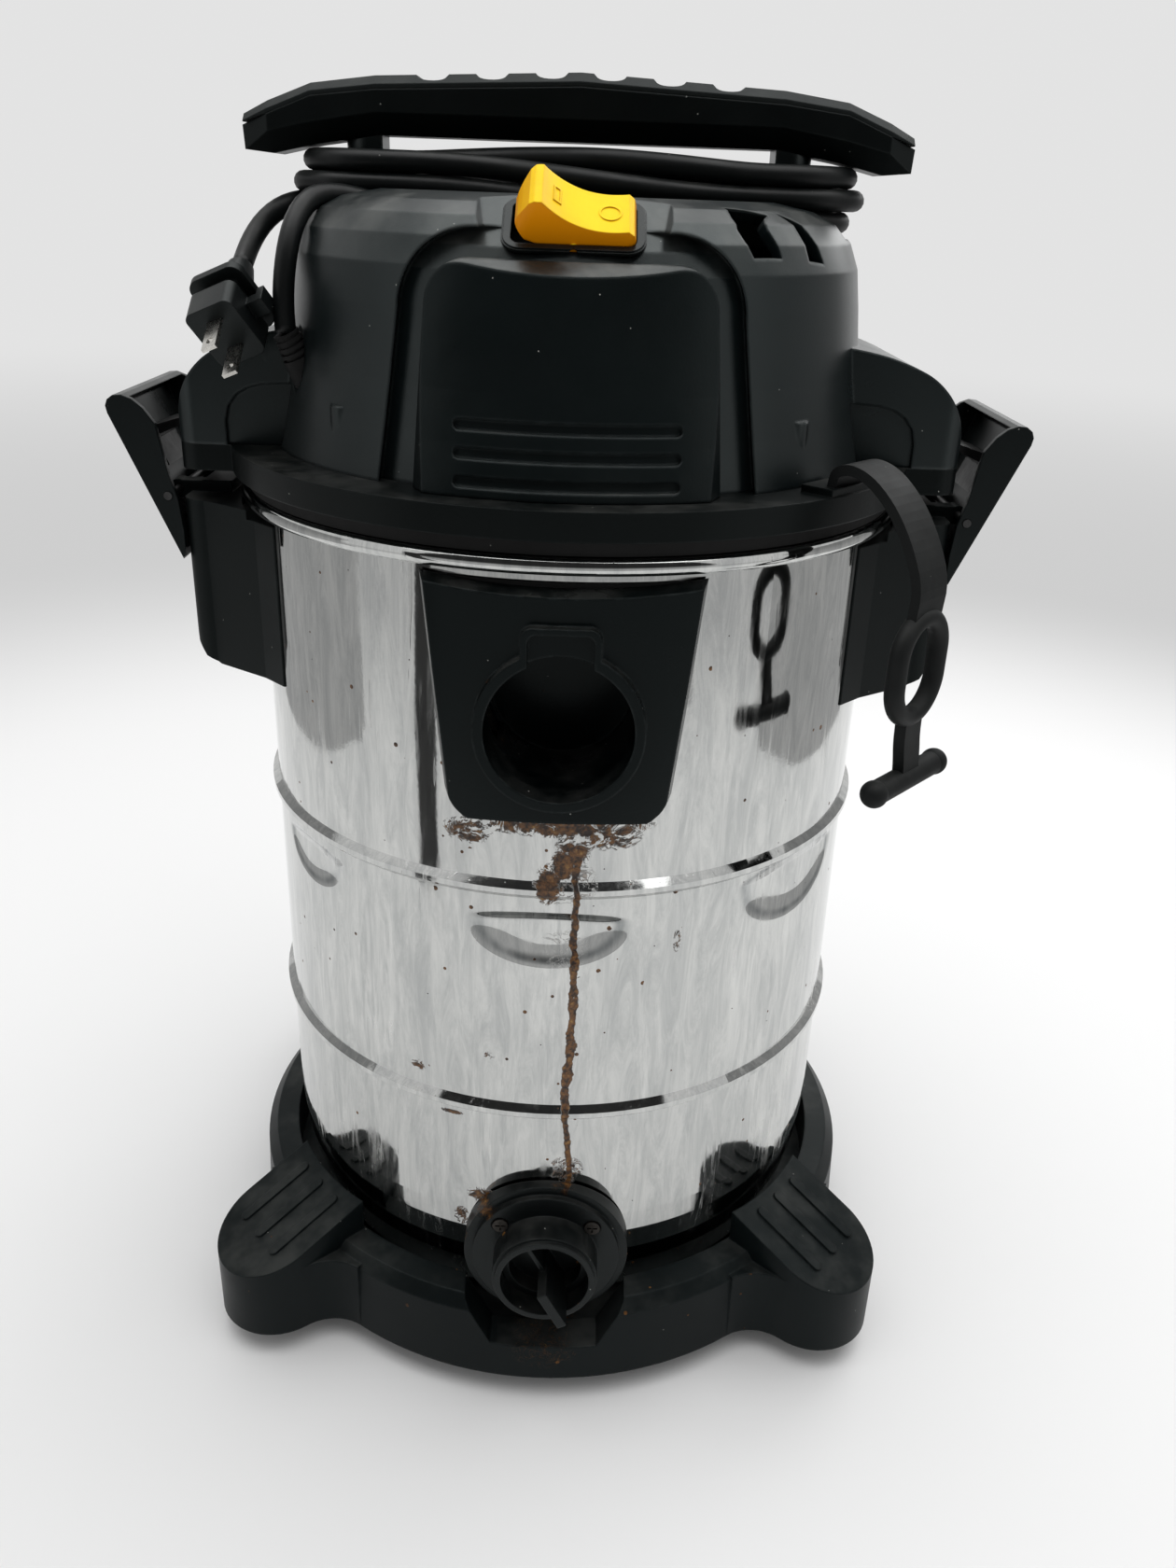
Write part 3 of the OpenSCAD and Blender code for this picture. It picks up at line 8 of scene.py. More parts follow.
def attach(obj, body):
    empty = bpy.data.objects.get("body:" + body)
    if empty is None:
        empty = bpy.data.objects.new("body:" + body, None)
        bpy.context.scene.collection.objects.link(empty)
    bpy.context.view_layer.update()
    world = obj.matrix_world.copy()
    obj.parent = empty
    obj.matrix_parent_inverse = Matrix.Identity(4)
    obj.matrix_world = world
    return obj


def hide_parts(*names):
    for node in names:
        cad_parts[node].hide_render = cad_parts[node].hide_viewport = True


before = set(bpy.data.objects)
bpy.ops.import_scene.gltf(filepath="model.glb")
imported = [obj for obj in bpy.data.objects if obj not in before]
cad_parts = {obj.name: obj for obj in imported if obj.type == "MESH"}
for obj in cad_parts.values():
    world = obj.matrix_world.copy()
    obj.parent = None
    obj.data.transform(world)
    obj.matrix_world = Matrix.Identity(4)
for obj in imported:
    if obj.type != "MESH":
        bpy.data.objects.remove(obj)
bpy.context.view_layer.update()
MM = 0.001


def link(obj):
    bpy.context.scene.collection.objects.link(obj)


# ---- camera ----

EYE = (0.0068, -0.590, 0.5253)
TILT_DEG = 24.90
ROLL_DEG = 2.13
PAN_DEG = -0.626
LENS_MM = 29.12
SENSOR_MM = 36
NEAR_CLIP = 0.01


def make_camera():
    data = bpy.data.cameras.new("camera")
    data.sensor_fit = "AUTO"
    data.sensor_width = SENSOR_MM
    data.lens = LENS_MM
    data.clip_start = NEAR_CLIP
    camera = bpy.data.objects.new("camera", data)
    turn = (Matrix.Rotation(math.radians(PAN_DEG), 4, "Z")
            @ Matrix.Rotation(math.radians(90 - TILT_DEG), 4, "X")
            @ Matrix.Rotation(math.radians(ROLL_DEG), 4, "Z"))
    camera.matrix_world = Matrix.Translation(EYE) @ turn
    link(camera)
    bpy.context.scene.camera = camera


# ---- power cord, in millimetres until the tube is made ----

CORD_D = 8.4
LAYER_Z = (518.2, 526.6, 535.0)
INNER_Y = 15.2
OUTER_Y = 23.6
LEAD_PATH = [(-113.5, -60.5, 472), (-114, -60.5, 479), (-114, -60, 486), (-113, -59, 494),
             (-112, -57, 502), (-111, -53, 509), (-109, -47, 516), (-106, -40, 521.5),
             (-101, -32, 524.5), (-94, -25, 522)]
TAIL_PATH = [(-97, 22.6, 518.6), (-107, 15.5, 519), (-112, 5.5, 519.6), (-116, -6, 520),
             (-121.5, -9, 518), (-127, -11, 515), (-132, -13.5, 510), (-135, -18, 504),
             (-136, -26, 498.3), (-135.4, -37, 493.1)]
CORD_SIDES = 14
# each place a strand can lie in: half depth, layer, end centres left and right
PLACES = {
    "outer_low": (OUTER_Y, 0, 88.0, 88.0),
    "inner_low": (INNER_Y, 0, 86.6, 86.6),
    "inner_mid": (INNER_Y, 1, 88.5, 88.0),
    "inner_top": (INNER_Y, 2, 86.6, 86.8),
    "outer_top": (OUTER_Y, 2, 87.8, 89.4),
    "outer_mid": (OUTER_Y, 1, 92.2, 93.2),
}
WINDING = ["outer_low", "inner_low", "inner_mid", "inner_top", "outer_top", "outer_mid", "outer_low"]
FRONT_STEPS = 26
END_STEPS = 12
BACK_STEPS = 18
# the part of a front run in which a strand slides from its place to the next one
SLIDE_START = 0.12
SLIDE_SHARE = 0.76
# how far it climbs over its neighbour on the way, in cord diameters
CLIMB = 0.42
# how far the free middle of a run stands off the straight line
OUTER_FRONT_SPRING = 1.6
INNER_FRONT_SPRING = -3.0
SPRING_SPLIT_Y = 19
OUTER_BACK_SPRING = 1.4
INNER_BACK_SPRING = -2.2
BACK_SAG = 0.2
EASING_PASSES = 2
# the lead already brings the first front run as far as this step
FIRST_STEP = 2


def smooth_step(t):
    return t * t * (3 - 2 * t)


def front_point(a, b, t):
    """A strand on the front run on its way from place a to place b, sliding round its neighbours."""
    s = smooth_step(min(1, max(0, (t - SLIDE_START) / SLIDE_SHARE)))
    left, right = -PLACES[a][2], PLACES[b][3]
    depth = PLACES[a][0] * (1 - s) + PLACES[b][0] * s
    height = LAYER_Z[PLACES[a][1]] * (1 - s) + LAYER_Z[PLACES[b][1]] * s
    if PLACES[a][0] != PLACES[b][0]:
        side = -1 if PLACES[a][1] == 0 else 1
        height += side * CLIMB * CORD_D * math.sqrt(math.sin(math.pi * s))
    ease = math.sin(math.pi * t) ** 2
    spring = OUTER_FRONT_SPRING if depth > SPRING_SPLIT_Y else INNER_FRONT_SPRING
    return (left + (right - left) * t, -(depth + spring * ease), height)


def half_turn(place, side):
    """The bend round a post, from front to back on the right and from back to front on the left."""
    depth, layer, left, right = PLACES[place]
    centre = right if side > 0 else -left
    for i in range(1, END_STEPS):
        angle = math.pi * i / END_STEPS - math.pi / 2
        yield (centre + side * depth * math.cos(angle), side * depth * math.sin(angle), LAYER_Z[layer])


def back_run(place, spring):
    """A strand on the back run, from right to left, with its middle standing off a little."""
    depth, layer, left, right = PLACES[place]
    for i in range(BACK_STEPS + 1):
        t = i / BACK_STEPS
        ease = math.sin(math.pi * t) ** 2
        yield (right - (right + left) * t, depth + spring * ease, LAYER_Z[layer] - BACK_SAG * ease)


def wound_route():
    """The whole cord: lead, turns round the posts, tail."""
    route = list(LEAD_PATH)
    turns = len(WINDING) - 1
    for k in range(turns):
        a, b = WINDING[k], WINDING[k + 1]
        first = FIRST_STEP if k == 0 else 0
        route += [front_point(a, b, i / FRONT_STEPS) for i in range(first, FRONT_STEPS + 1)]
        route += list(half_turn(b, 1))
        spring = OUTER_BACK_SPRING if PLACES[b][0] == OUTER_Y else INNER_BACK_SPRING
        back = list(back_run(b, spring))
        route += back[:-1] + TAIL_PATH if k == turns - 1 else back + list(half_turn(b, -1))
    return route


def eased(points, passes):
    """The route with its corners relaxed; both ends stay."""
    line = [Vector(p) for p in points]
    for _ in range(passes):
        inner = [(line[i - 1] + 2 * line[i] + line[i + 1]) / 4 for i in range(1, len(line) - 1)]
        line = [line[0]] + inner + [line[-1]]
    return line


def refined(line):
    """The same line with a point added halfway along each step, on a cubic curve through four points."""
    fine = [line[0]]
    for i in range(len(line) - 1):
        before, after = line[max(i - 1, 0)], line[min(i + 2, len(line) - 1)]
        fine += [(9 * (line[i] + line[i + 1]) - before - after) / 16, line[i + 1]]
    return fine


def tube(line, radius, sides):
    """Points and faces of a closed round tube that follows a line without twisting."""
    points, faces, across = [], [], None
    for i, place in enumerate(line):
        heading = (line[min(i + 1, len(line) - 1)] - line[max(i - 1, 0)]).normalized()
        across = heading.orthogonal() if across is None else across - heading * heading.dot(across)
        across.normalize()
        upright = heading.cross(across)
        for k in range(sides):
            angle = 2 * math.pi * k / sides
            points.append(place + radius * (math.cos(angle) * across + math.sin(angle) * upright))
    for i in range(len(line) - 1):
        for k in range(sides):
            n = (k + 1) % sides
            faces.append((i * sides + k, i * sides + n, (i + 1) * sides + n, (i + 1) * sides + k))
    last = (len(line) - 1) * sides
    return points, faces + [tuple(reversed(range(sides))), tuple(range(last, last + sides))]


def make_cord():
    line = [place * MM for place in refined(eased(wound_route(), EASING_PASSES))]
    mesh = bpy.data.meshes.new("power_cord")
    points, faces = tube(line, CORD_D / 2 * MM, CORD_SIDES)
    mesh.from_pydata(points, [], faces)
    mesh.shade_smooth()
    cord = bpy.data.objects.new("power_cord", mesh)
    link(cord)
    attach(cord, "head")
    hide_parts("cord_lead", "cord_hank", "cord_tail")
    return cord


# ---- node helpers ----

# the colour sockets of a Mix node
MIX_SHARE = 0
MIX_A = 6
MIX_B = 7
MIX_COLOUR = 2


class Net:
    """Short calls for building one node tree."""

    def __init__(self, tree):
        self.tree = tree

    def add(self, kind, **settings):
        node = self.tree.nodes.new(kind)
        for key, value in settings.items():
            setattr(node, key, value)
        return node

    def feed(self, socket, value):
        if isinstance(value, bpy.types.NodeSocket):
            self.tree.links.new(value, socket)
        elif value is not None:
            socket.default_value = value

    def math(self, operation, a, b=None, clamp=False):
        node = self.add("ShaderNodeMath", operation=operation, use_clamp=clamp)
        self.feed(node.inputs[0], a)
        self.feed(node.inputs[1], b)
        return node.outputs[0]

    def times(self, first, *others):
        for other in others:
            first = self.math("MULTIPLY", first, other)
        return first

    def plus(self, a, b):
        return self.math("ADD", a, b)

    def minus(self, a, b):
        return self.math("SUBTRACT", a, b)

    def larger(self, first, *others):
        for other in others:
            first = self.math("MAXIMUM", first, other)
        return first

    def band(self, value, low, high, low_out=0.0, high_out=1.0):
        node = self.add("ShaderNodeMapRange", interpolation_type="SMOOTHSTEP")
        for name, v in (("Value", value), ("From Min", low), ("From Max", high),
                        ("To Min", low_out), ("To Max", high_out)):
            self.feed(node.inputs[name], v)
        return node.outputs[0]

    def mix(self, share, a, b):
        node = self.add("ShaderNodeMix", data_type="RGBA")
        self.feed(node.inputs[MIX_SHARE], share)
        self.feed(node.inputs[MIX_A], a)
        self.feed(node.inputs[MIX_B], b)
        return node.outputs[MIX_COLOUR]

    def split(self, vector):
        node = self.add("ShaderNodeSeparateXYZ")
        self.feed(node.inputs[0], vector)
        return node.outputs

    def moved(self, vector, scale=(1, 1, 1), turn=(0, 0, 0)):
        node = self.add("ShaderNodeMapping")
        self.feed(node.inputs["Vector"], vector)
        node.inputs["Rotation"].default_value = [math.radians(a) for a in turn]
        node.inputs["Scale"].default_value = scale
        return node.outputs[0]

    def noise(self, vector, scale, detail=2.0, rough=0.5, bend=0.0):
        node = self.add("ShaderNodeTexNoise")
        self.feed(node.inputs["Vector"], vector)
        self.feed(node.inputs["Scale"], scale)
        self.feed(node.inputs["Detail"], detail)
        self.feed(node.inputs["Roughness"], rough)
        self.feed(node.inputs["Distortion"], bend)
        return node.outputs["Fac"]

    def cells(self, vector, scale):
        node = self.add("ShaderNodeTexVoronoi")
        self.feed(node.inputs["Vector"], vector)
        self.feed(node.inputs["Scale"], scale)
        return node

    def bump(self, height, strength, distance, normal=None):
        node = self.add("ShaderNodeBump")
        self.feed(node.inputs["Height"], height)
        self.feed(node.inputs["Strength"], strength)
        self.feed(node.inputs["Distance"], distance)
        self.feed(node.inputs["Normal"], normal)
        return node.outputs[0]

    def placed(self, group, **values):
        node = self.add("ShaderNodeGroup", node_tree=group)
        for key, value in values.items():
            self.feed(node.inputs[key.replace("_", " ")], value)
        return node.outputs

    def place(self):
        return self.add("ShaderNodeTexCoord").outputs["Object"]


def new_group(name, inputs, outputs):
    tree = bpy.data.node_groups.new(name, "ShaderNodeTree")
    kinds = {"value": "NodeSocketFloat", "colour": "NodeSocketColor", "vector": "NodeSocketVector"}
    for label, kind, default in inputs:
        socket = tree.interface.new_socket(label, in_out="INPUT", socket_type=kinds[kind])
        if default is not None:
            socket.default_value = default
    for label, kind in outputs:
        tree.interface.new_socket(label, in_out="OUTPUT", socket_type=kinds[kind])
    net = Net(tree)
    return net, net.add("NodeGroupInput").outputs, net.add("NodeGroupOutput").inputs


# ---- shared effects ----

# pale colour of dust and lint, and of the painted top light on faces that look up
PALE_DUST_AND_TOP_LIGHT = (0.32, 0.32, 0.30, 1)


def dust_and_top_light_group():
    """Thin pale film on faces that look up, partly dust and partly painted top light, and sparse pale
    lint.
    """
    net, given, out = new_group(
        "settled_dust_and_painted_top_light",
        [("Place", "vector", None), ("Colour", "colour", (0.03, 0.03, 0.03, 1)),
         ("Dust Colour", "colour", PALE_DUST_AND_TOP_LIGHT), ("Film", "value", 0.1), ("Lint", "value", 0.5)],
        [("Colour", "colour"), ("Mask", "value")])
    place = given["Place"]
    normal = net.add("ShaderNodeNewGeometry").outputs["Normal"]
    upward = net.band(net.split(normal)[2], 0.1, 1.0)
    patches = net.band(net.noise(place, scale=24, detail=4, rough=0.65), 0.38, 0.72)
    # the film on faces that look up is partly dust and partly painted top light
    film = net.times(upward, patches, given["Film"])
    spot = net.cells(place, scale=190)
    small = net.math("LESS_THAN", spot.outputs["Distance"], 0.055)
    chosen = net.math("GREATER_THAN", net.split(spot.outputs["Color"])[0], 0.82)
    lint = net.times(small, chosen, given["Lint"])
    mask = net.math("ADD", film, lint, clamp=True)
    net.feed(out["Colour"], net.mix(mask, given["Colour"], given["Dust Colour"]))
    net.feed(out["Mask"], mask)
    return net.tree


def grain_group():
    """Fine texture of a moulded face: a height for bump and a small change of roughness."""
    net, given, out = new_group(
        "moulded_grain",
        [("Place", "vector", None), ("Scale", "value", 1500.0), ("Smudge", "value", 0.5)],
        [("Height", "value"), ("Rough Change", "value")])
    place = given["Place"]
    fine = net.noise(place, scale=given["Scale"], detail=2, rough=0.6)
    pits = net.cells(place, scale=net.times(given["Scale"], 0.6)).outputs["Distance"]
    net.feed(out["Height"], net.plus(fine, net.times(pits, 0.5)))
    wide = net.minus(net.noise(place, scale=17, detail=5, rough=0.62, bend=0.6), 0.5)
    net.feed(out["Rough Change"], net.times(wide, given["Smudge"]))
    return net.tree


def edge_wear_and_highlight_group():
    """Mask that is high along hard edges, broken up by rubbing: edge wear and a painted edge highlight."""
    net, given, out = new_group(
        "edge_rub", [("Place", "vector", None), ("Radius", "value", 0.0015), ("Amount", "value", 0.5)],
        [("Mask", "value")])
    bevel = net.add("ShaderNodeBevel", samples=BEVEL_SAMPLES)
    net.feed(bevel.inputs["Radius"], given["Radius"])
    same = net.add("ShaderNodeVectorMath", operation="DOT_PRODUCT")
    net.feed(same.inputs[0], bevel.outputs[0])
    net.feed(same.inputs[1], net.add("ShaderNodeNewGeometry").outputs["Normal"])
    # hard edges, marked both for rubbed wear and for a painted edge highlight
    turned = net.band(same.outputs["Value"], 0.995, 0.9)
    broken = net.band(net.noise(given["Place"], scale=160, detail=4, rough=0.7), 0.42, 0.66)
    net.feed(out["Mask"], net.times(turned, broken, given["Amount"]))
    return net.tree


# scratches: how the place is turned and stretched for each direction
SCRATCHES = [
    ((0, 35, 0), (70, 70, 4)),
    ((0, -52, 20), (55, 55, 3)),
    ((10, 80, 0), (90, 90, 6)),
]


def scuff_group():
    """Thin straight scratches in three directions."""
    net, given, out = new_group(
        "scuff_lines", [("Place", "vector", None), ("Density", "value", 0.5)],
        [("Mask", "value")])
    marks = []
    for turn, scale in SCRATCHES:
        lines = net.noise(net.moved(given["Place"], scale=scale, turn=turn), scale=6, detail=1, rough=0.4)
        edge = net.minus(0.76, net.times(given["Density"], 0.1))
        marks.append(net.band(lines, edge, net.plus(edge, 0.025)))
    net.feed(out["Mask"], net.larger(*marks))
    return net.tree


# ---- dried residue, in metres on the drum's front ----

FRONT_ONLY_Y = -0.05
RUN_X = 0.0085
RUN_HALF = 0.0008
RUN_SWELL = 0.0016
RUN_WANDER = 0.010
RUN_SOFT_EDGE = 0.0004
RUN_LOW = 0.112
RUN_TOP = 0.290
RUN_FADE = 0.004
# splash centres across and up, half sizes, strength
SPLASHES = [
    (0.002, 0.2965, 0.056, 0.0065, 0.66),
    (-0.036, 0.292, 0.016, 0.009, 0.60),
    (0.022, 0.292, 0.020, 0.009, 0.58),
    (0.007, 0.287, 0.012, 0.012, 0.60),
    (-0.003, 0.270, 0.009, 0.013, 0.70),
    (0.003, 0.280, 0.008, 0.012, 0.66),
    (0.004, 0.272, 0.026, 0.022, 0.42),
    (0.004, 0.240, 0.026, 0.024, 0.38),
    (0.008, 0.180, 0.014, 0.050, 0.30),
    (0.008, 0.122, 0.014, 0.014, 0.50),
    (-0.030, 0.103, 0.012, 0.007, 0.58),
    (-0.040, 0.088, 0.006, 0.009, 0.56),
    (-0.059, 0.169, 0.006, 0.004, 0.62),
    (-0.027, 0.183, 0.004, 0.003, 0.56),
    (-0.044, 0.148, 0.008, 0.002, 0.62),
    (0.052, 0.240, 0.003, 0.010, 0.50),
    (0.000, 0.030, 0.034, 0.022, 0.40),
]
CRUST_DARK = (0.020, 0.008, 0.003, 1)
CRUST_BROWN = (0.15, 0.062, 0.014, 1)
CRUST_PALE = (0.30, 0.17, 0.045, 1)


def run_mask(net, place):
    """One thin line that wanders a little and swells where it beaded."""
    x, _, z = net.split(place)
    wander = net.times(net.minus(net.noise(place, scale=26, detail=3, rough=0.65), 0.5), RUN_WANDER)
    off_line = net.math("ABSOLUTE", net.minus(x, net.plus(wander, RUN_X)))
    swell = net.band(net.noise(place, scale=75, detail=3, rough=0.7), 0.42, 0.74)
    half_width = net.plus(net.times(swell, RUN_SWELL), RUN_HALF)
    line = net.band(net.minus(off_line, half_width), RUN_SOFT_EDGE, 0.0)
    gaps = net.band(net.noise(place, scale=240, detail=3, rough=0.7), 0.25, 0.33)
    foot = net.band(z, RUN_LOW, RUN_LOW + RUN_FADE)
    head = net.band(z, RUN_TOP, RUN_TOP - RUN_FADE)
    return net.times(line, gaps, foot, head)


def splash_strength(net, place):
    """How likely a mark is, falling off away from each splash's centre."""
    x, _, z = net.split(place)
    strengths = []
    for centre_x, centre_z, half_w, half_h, most in SPLASHES:
        across = net.math("DIVIDE", net.minus(x, centre_x), half_w)
        up = net.math("DIVIDE", net.minus(z, centre_z), half_h)
        far = net.plus(net.times(across, across), net.times(up, up))
        strengths.append(net.band(far, 1.0, 0.0, low_out=0.0, high_out=most))
    return net.larger(*strengths)


def residue_group():
    """Dried brown residue under the port plate, in a thin run down the front, and round the drain."""
    net, given, out = new_group(
        "dried_residue",
        [("Place", "vector", None), ("Reach", "value", 1.0)],
        [("Mask", "value"), ("Colour", "colour"), ("Height", "value")])
    place = given["Place"]
    front = net.math("LESS_THAN", net.split(place)[1], FRONT_ONLY_Y)
    spread = splash_strength(net, place)
    # crust: ragged patches
    ragged = net.noise(place, scale=120, detail=7, rough=0.80, bend=1.6)
    crust = net.band(net.plus(ragged, spread), 1.05, 1.08)
    # dried rims: thin outlines where a drop stood
    level = net.minus(net.noise(place, scale=120, detail=4, rough=0.65, bend=1.5), 0.5)
    rims = net.times(net.band(net.math("ABSOLUTE", level), 0.026, 0.010), net.band(spread, 0.34, 0.48))
    # flecks: round spots, more of them near a splash
    spots = net.cells(place, scale=260)
    red, green, _ = net.split(spots.outputs["Color"])
    round_spot = net.math("LESS_THAN", spots.outputs["Distance"], net.times(green, 0.30))
    chosen = net.math("GREATER_THAN", net.plus(red, net.times(spread, 0.42)), 0.975)
    flecks = net.times(round_spot, chosen)
    mask = net.larger(run_mask(net, place), rims, crust, flecks)
    mask = net.times(mask, front, given["Reach"])
    net.feed(out["Mask"], mask)
    tone = net.noise(place, scale=300, detail=4, rough=0.7)
    brown = net.mix(net.band(tone, 0.40, 0.60), CRUST_DARK, CRUST_BROWN)
    net.feed(out["Colour"], net.mix(net.band(tone, 0.58, 0.72), brown, CRUST_PALE))
    net.feed(out["Height"], net.times(mask, net.plus(tone, 0.4)))
    return net.tree


# ---- dimples ----

# shallow dimples in the drum: azimuth from the front, height of the upper edge, half width,
# height, depth
DIMPLES = [
    (-52, 0.256, 0.027, 0.0180, 0.0034),
    (-1, 0.2515, 0.037, 0.0215, 0.0036),
    (49, 0.258, 0.040, 0.0260, 0.0044),
]
# how much faster a dimple ends above its upper edge than it does below
UPPER_EDGE_STEEPNESS = 3.5
# depth at which a dimple's sloping edge is over
SLOPE_DEPTH = 0.0024


def dimple_height(net, place):
    """Height of the drum wall over its round form, down in each dimple."""
    depths = []
    for azimuth, z_top, half_w, tall, depth in DIMPLES:
        x, y, z = net.split(net.moved(place, turn=(0, 0, -azimuth)))
        across = net.math("DIVIDE", x, half_w)
        up = net.math("DIVIDE", net.minus(z, z_top), tall)
        up = net.larger(net.times(up, UPPER_EDGE_STEEPNESS), net.times(up, -1.0))
        far = net.plus(net.times(across, across), net.times(up, up))
        low = net.band(far, 1.0, 0.10, low_out=0.0, high_out=-depth)
        depths.append(net.times(low, net.math("LESS_THAN", y, 0)))
    deepest = depths[0]
    for depth in depths[1:]:
        deepest = net.math("MINIMUM", deepest, depth)
    return deepest


# ---- materials ----

BEVEL_SAMPLES = 4
BUMP_STEP = 0.0002
SHEEN_TINT = (0.90, 1.0, 0.99, 1)
STEEL_DULL = (0.43, 0.44, 0.435, 1)
STEEL_BRIGHT = (0.60, 0.605, 0.59, 1)
STEEL_FILM = (0.74, 0.74, 0.72, 1)
STEEL_DIMPLE_PAINTED_REFLECTION = (0.17, 0.185, 0.19, 1)
STEEL_SPECK = (0.05, 0.045, 0.04, 1)
AMBER_DEEP = (0.90, 0.58, 0.002, 1)
AMBER_BRIGHT = (0.95, 0.65, 0.003, 1)
AMBER_PAINTED_SIDE_SHADE = (0.78, 0.27, 0.001, 1)
AMBER_DIRT = (0.35, 0.22, 0.04, 1)
RUST = (0.12, 0.045, 0.015, 1)
PAPER_DULL = (0.62, 0.59, 0.52, 1)
PAPER_CLEAN = (0.74, 0.71, 0.64, 1)
PAPER_USED = (0.30, 0.28, 0.25, 1)


def new_material(name):
    material = bpy.data.materials.new(name)
    material.use_nodes = True
    net = Net(material.node_tree)
    return material, net, material.node_tree.nodes["Principled BSDF"].inputs


def drum_steel(groups):
    """Bright rolled stainless sheet: ripples, wiping marks, fine scratches, dimples with a painted dark
    reflection on their slopes, dried residue.
    """
    material, net, finish = new_material("bright_drum_steel")
    place = net.place()
    # wiping marks: slanted smears that are clearest low on the drum
    wiped = net.noise(net.moved(place, scale=(16, 16, 5), turn=(0, 38, 0)),
                      scale=2.2, detail=5, rough=0.62, bend=0.5)
    arcs = net.noise(net.moved(place, scale=(150, 150, 14), turn=(0, 58, 0)),
                     scale=2, detail=3, rough=0.6, bend=0.8)
    low_down = net.band(net.split(place)[2], 0.30, 0.16)
    film = net.times(net.band(wiped, 0.44, 0.66), net.band(arcs, 0.42, 0.62),
                     net.plus(net.times(low_down, 0.6), 0.4))
    scuffs = net.placed(groups["scuff"], Place=place, Density=0.3)["Mask"]
    tone = net.noise(net.moved(place, scale=(60, 60, 9), turn=(0, 28, 0)),
                     scale=2, detail=7, rough=0.8, bend=0.9)
    metal = net.mix(net.band(tone, 0.32, 0.68), STEEL_DULL, STEEL_BRIGHT)
    metal = net.mix(net.times(film, 0.60), metal, STEEL_FILM)
    # painted reflection: the sloping edge of each dimple is painted dark, as if it turned to the dark side
    # of the room
    sunk = dimple_height(net, place)
    slope = net.band(sunk, 0.0, -SLOPE_DEPTH)
    slope = net.times(slope, net.minus(1.0, slope))
    crinkle = net.noise(net.moved(place, scale=(3, 3, 1)), scale=60, detail=3, rough=0.6)
    crinkle = net.band(crinkle, 0.3, 0.7, low_out=1.2, high_out=3.0)
    metal = net.mix(net.times(slope, crinkle), metal, STEEL_DIMPLE_PAINTED_REFLECTION)
    spots = net.cells(place, scale=230)
    specks = net.times(net.math("LESS_THAN", spots.outputs["Distance"], 0.075),
                       net.math("GREATER_THAN", net.split(spots.outputs["Color"])[2], 0.945))
    metal = net.mix(specks, metal, STEEL_SPECK)
    stain = net.placed(groups["residue"], Place=place)
    net.feed(finish["Base Color"], net.mix(stain["Mask"], metal, stain["Colour"]))
    net.feed(finish["Metallic"], net.minus(1.0, net.larger(stain["Mask"], specks)))
    rough = net.plus(net.times(film, 0.24), 0.055)
    rough = net.plus(rough, net.times(scuffs, 0.10))
    rough = net.plus(rough, net.times(stain["Mask"], 0.35))
    net.feed(finish["Roughness"], rough)
    ripple = net.noise(net.moved(place, scale=(1, 1, 0.22)), scale=17, detail=2, rough=0.45, bend=0.5)
    shaped = net.bump(ripple, strength=0.5, distance=0.0020)
    shaped = net.bump(sunk, strength=1.0, distance=1.0, normal=shaped)
    fine = net.noise(place, scale=420, detail=3, rough=0.6)
    shaped = net.bump(fine, strength=0.04, distance=BUMP_STEP, normal=shaped)
    shaped = net.bump(scuffs, strength=0.08, distance=BUMP_STEP, normal=shaped)
    net.feed(finish["Normal"], net.bump(stain["Height"], strength=0.8, distance=0.0007, normal=shaped))
    return material


def moulded(groups, name, colour, rough, grain=1500.0, grain_depth=0.12, film=0.10, lint=0.6,
            smudge=0.30, rub=0.25, round_edge=0.0009, stain=0.0, gloss=0.22):
    """Moulded plastic: fine grain, softened edges, smudges, rubbed edges that also carry a painted
    highlight, dust with painted top light and, where it gets it, residue.
    """
    material, net, finish = new_material(name)
    place = net.place()
    # pale: colour of rubbed edges, which also paints an edge highlight
    pale = tuple(min(1, c * 2.4 + 0.012) for c in colour) + (1,)
    darker = tuple(c * 0.78 for c in colour) + (1,)
    worn_and_highlit_edge = net.placed(groups["wear_and_edge_highlight"], Place=place, Amount=rub)["Mask"]
    tone = net.noise(place, scale=11, detail=4, rough=0.6)
    shade = net.mix(net.band(tone, 0.35, 0.65), darker, (*colour, 1))
    # painted highlight: hard edges turn pale, partly rubbed wear and partly standing in for the light they
    # catch
    shade = net.mix(worn_and_highlit_edge, shade, pale)
    texture = net.placed(groups["grain"], Place=place, Scale=grain, Smudge=smudge)
    roughness = net.plus(texture["Rough Change"], rough)
    bevel = net.add("ShaderNodeBevel", samples=BEVEL_SAMPLES)
    bevel.inputs["Radius"].default_value = round_edge
    normal = net.bump(texture["Height"], strength=grain_depth, distance=BUMP_STEP, normal=bevel.outputs[0])
    # the pale film on faces that look up is partly dust and partly painted top light
    top_film_and_lint = net.placed(groups["dust"], Place=place, Colour=shade, Film=film, Lint=lint)
    shade = top_film_and_lint["Colour"]
    roughness = net.plus(roughness, net.times(top_film_and_lint["Mask"], 0.4))
    if stain:
        dried = net.placed(groups["residue"], Place=place, Reach=stain)
        shade = net.mix(dried["Mask"], shade, dried["Colour"])
        normal = net.bump(dried["Height"], strength=0.8, distance=0.0006, normal=normal)
    net.feed(finish["Base Color"], shade)
    net.feed(finish["Roughness"], net.math("MINIMUM", net.larger(roughness, 0.08), 1.0))
    finish["Specular IOR Level"].default_value = gloss
    finish["Specular Tint"].default_value = SHEEN_TINT
    net.feed(finish["Normal"], normal)
    return material


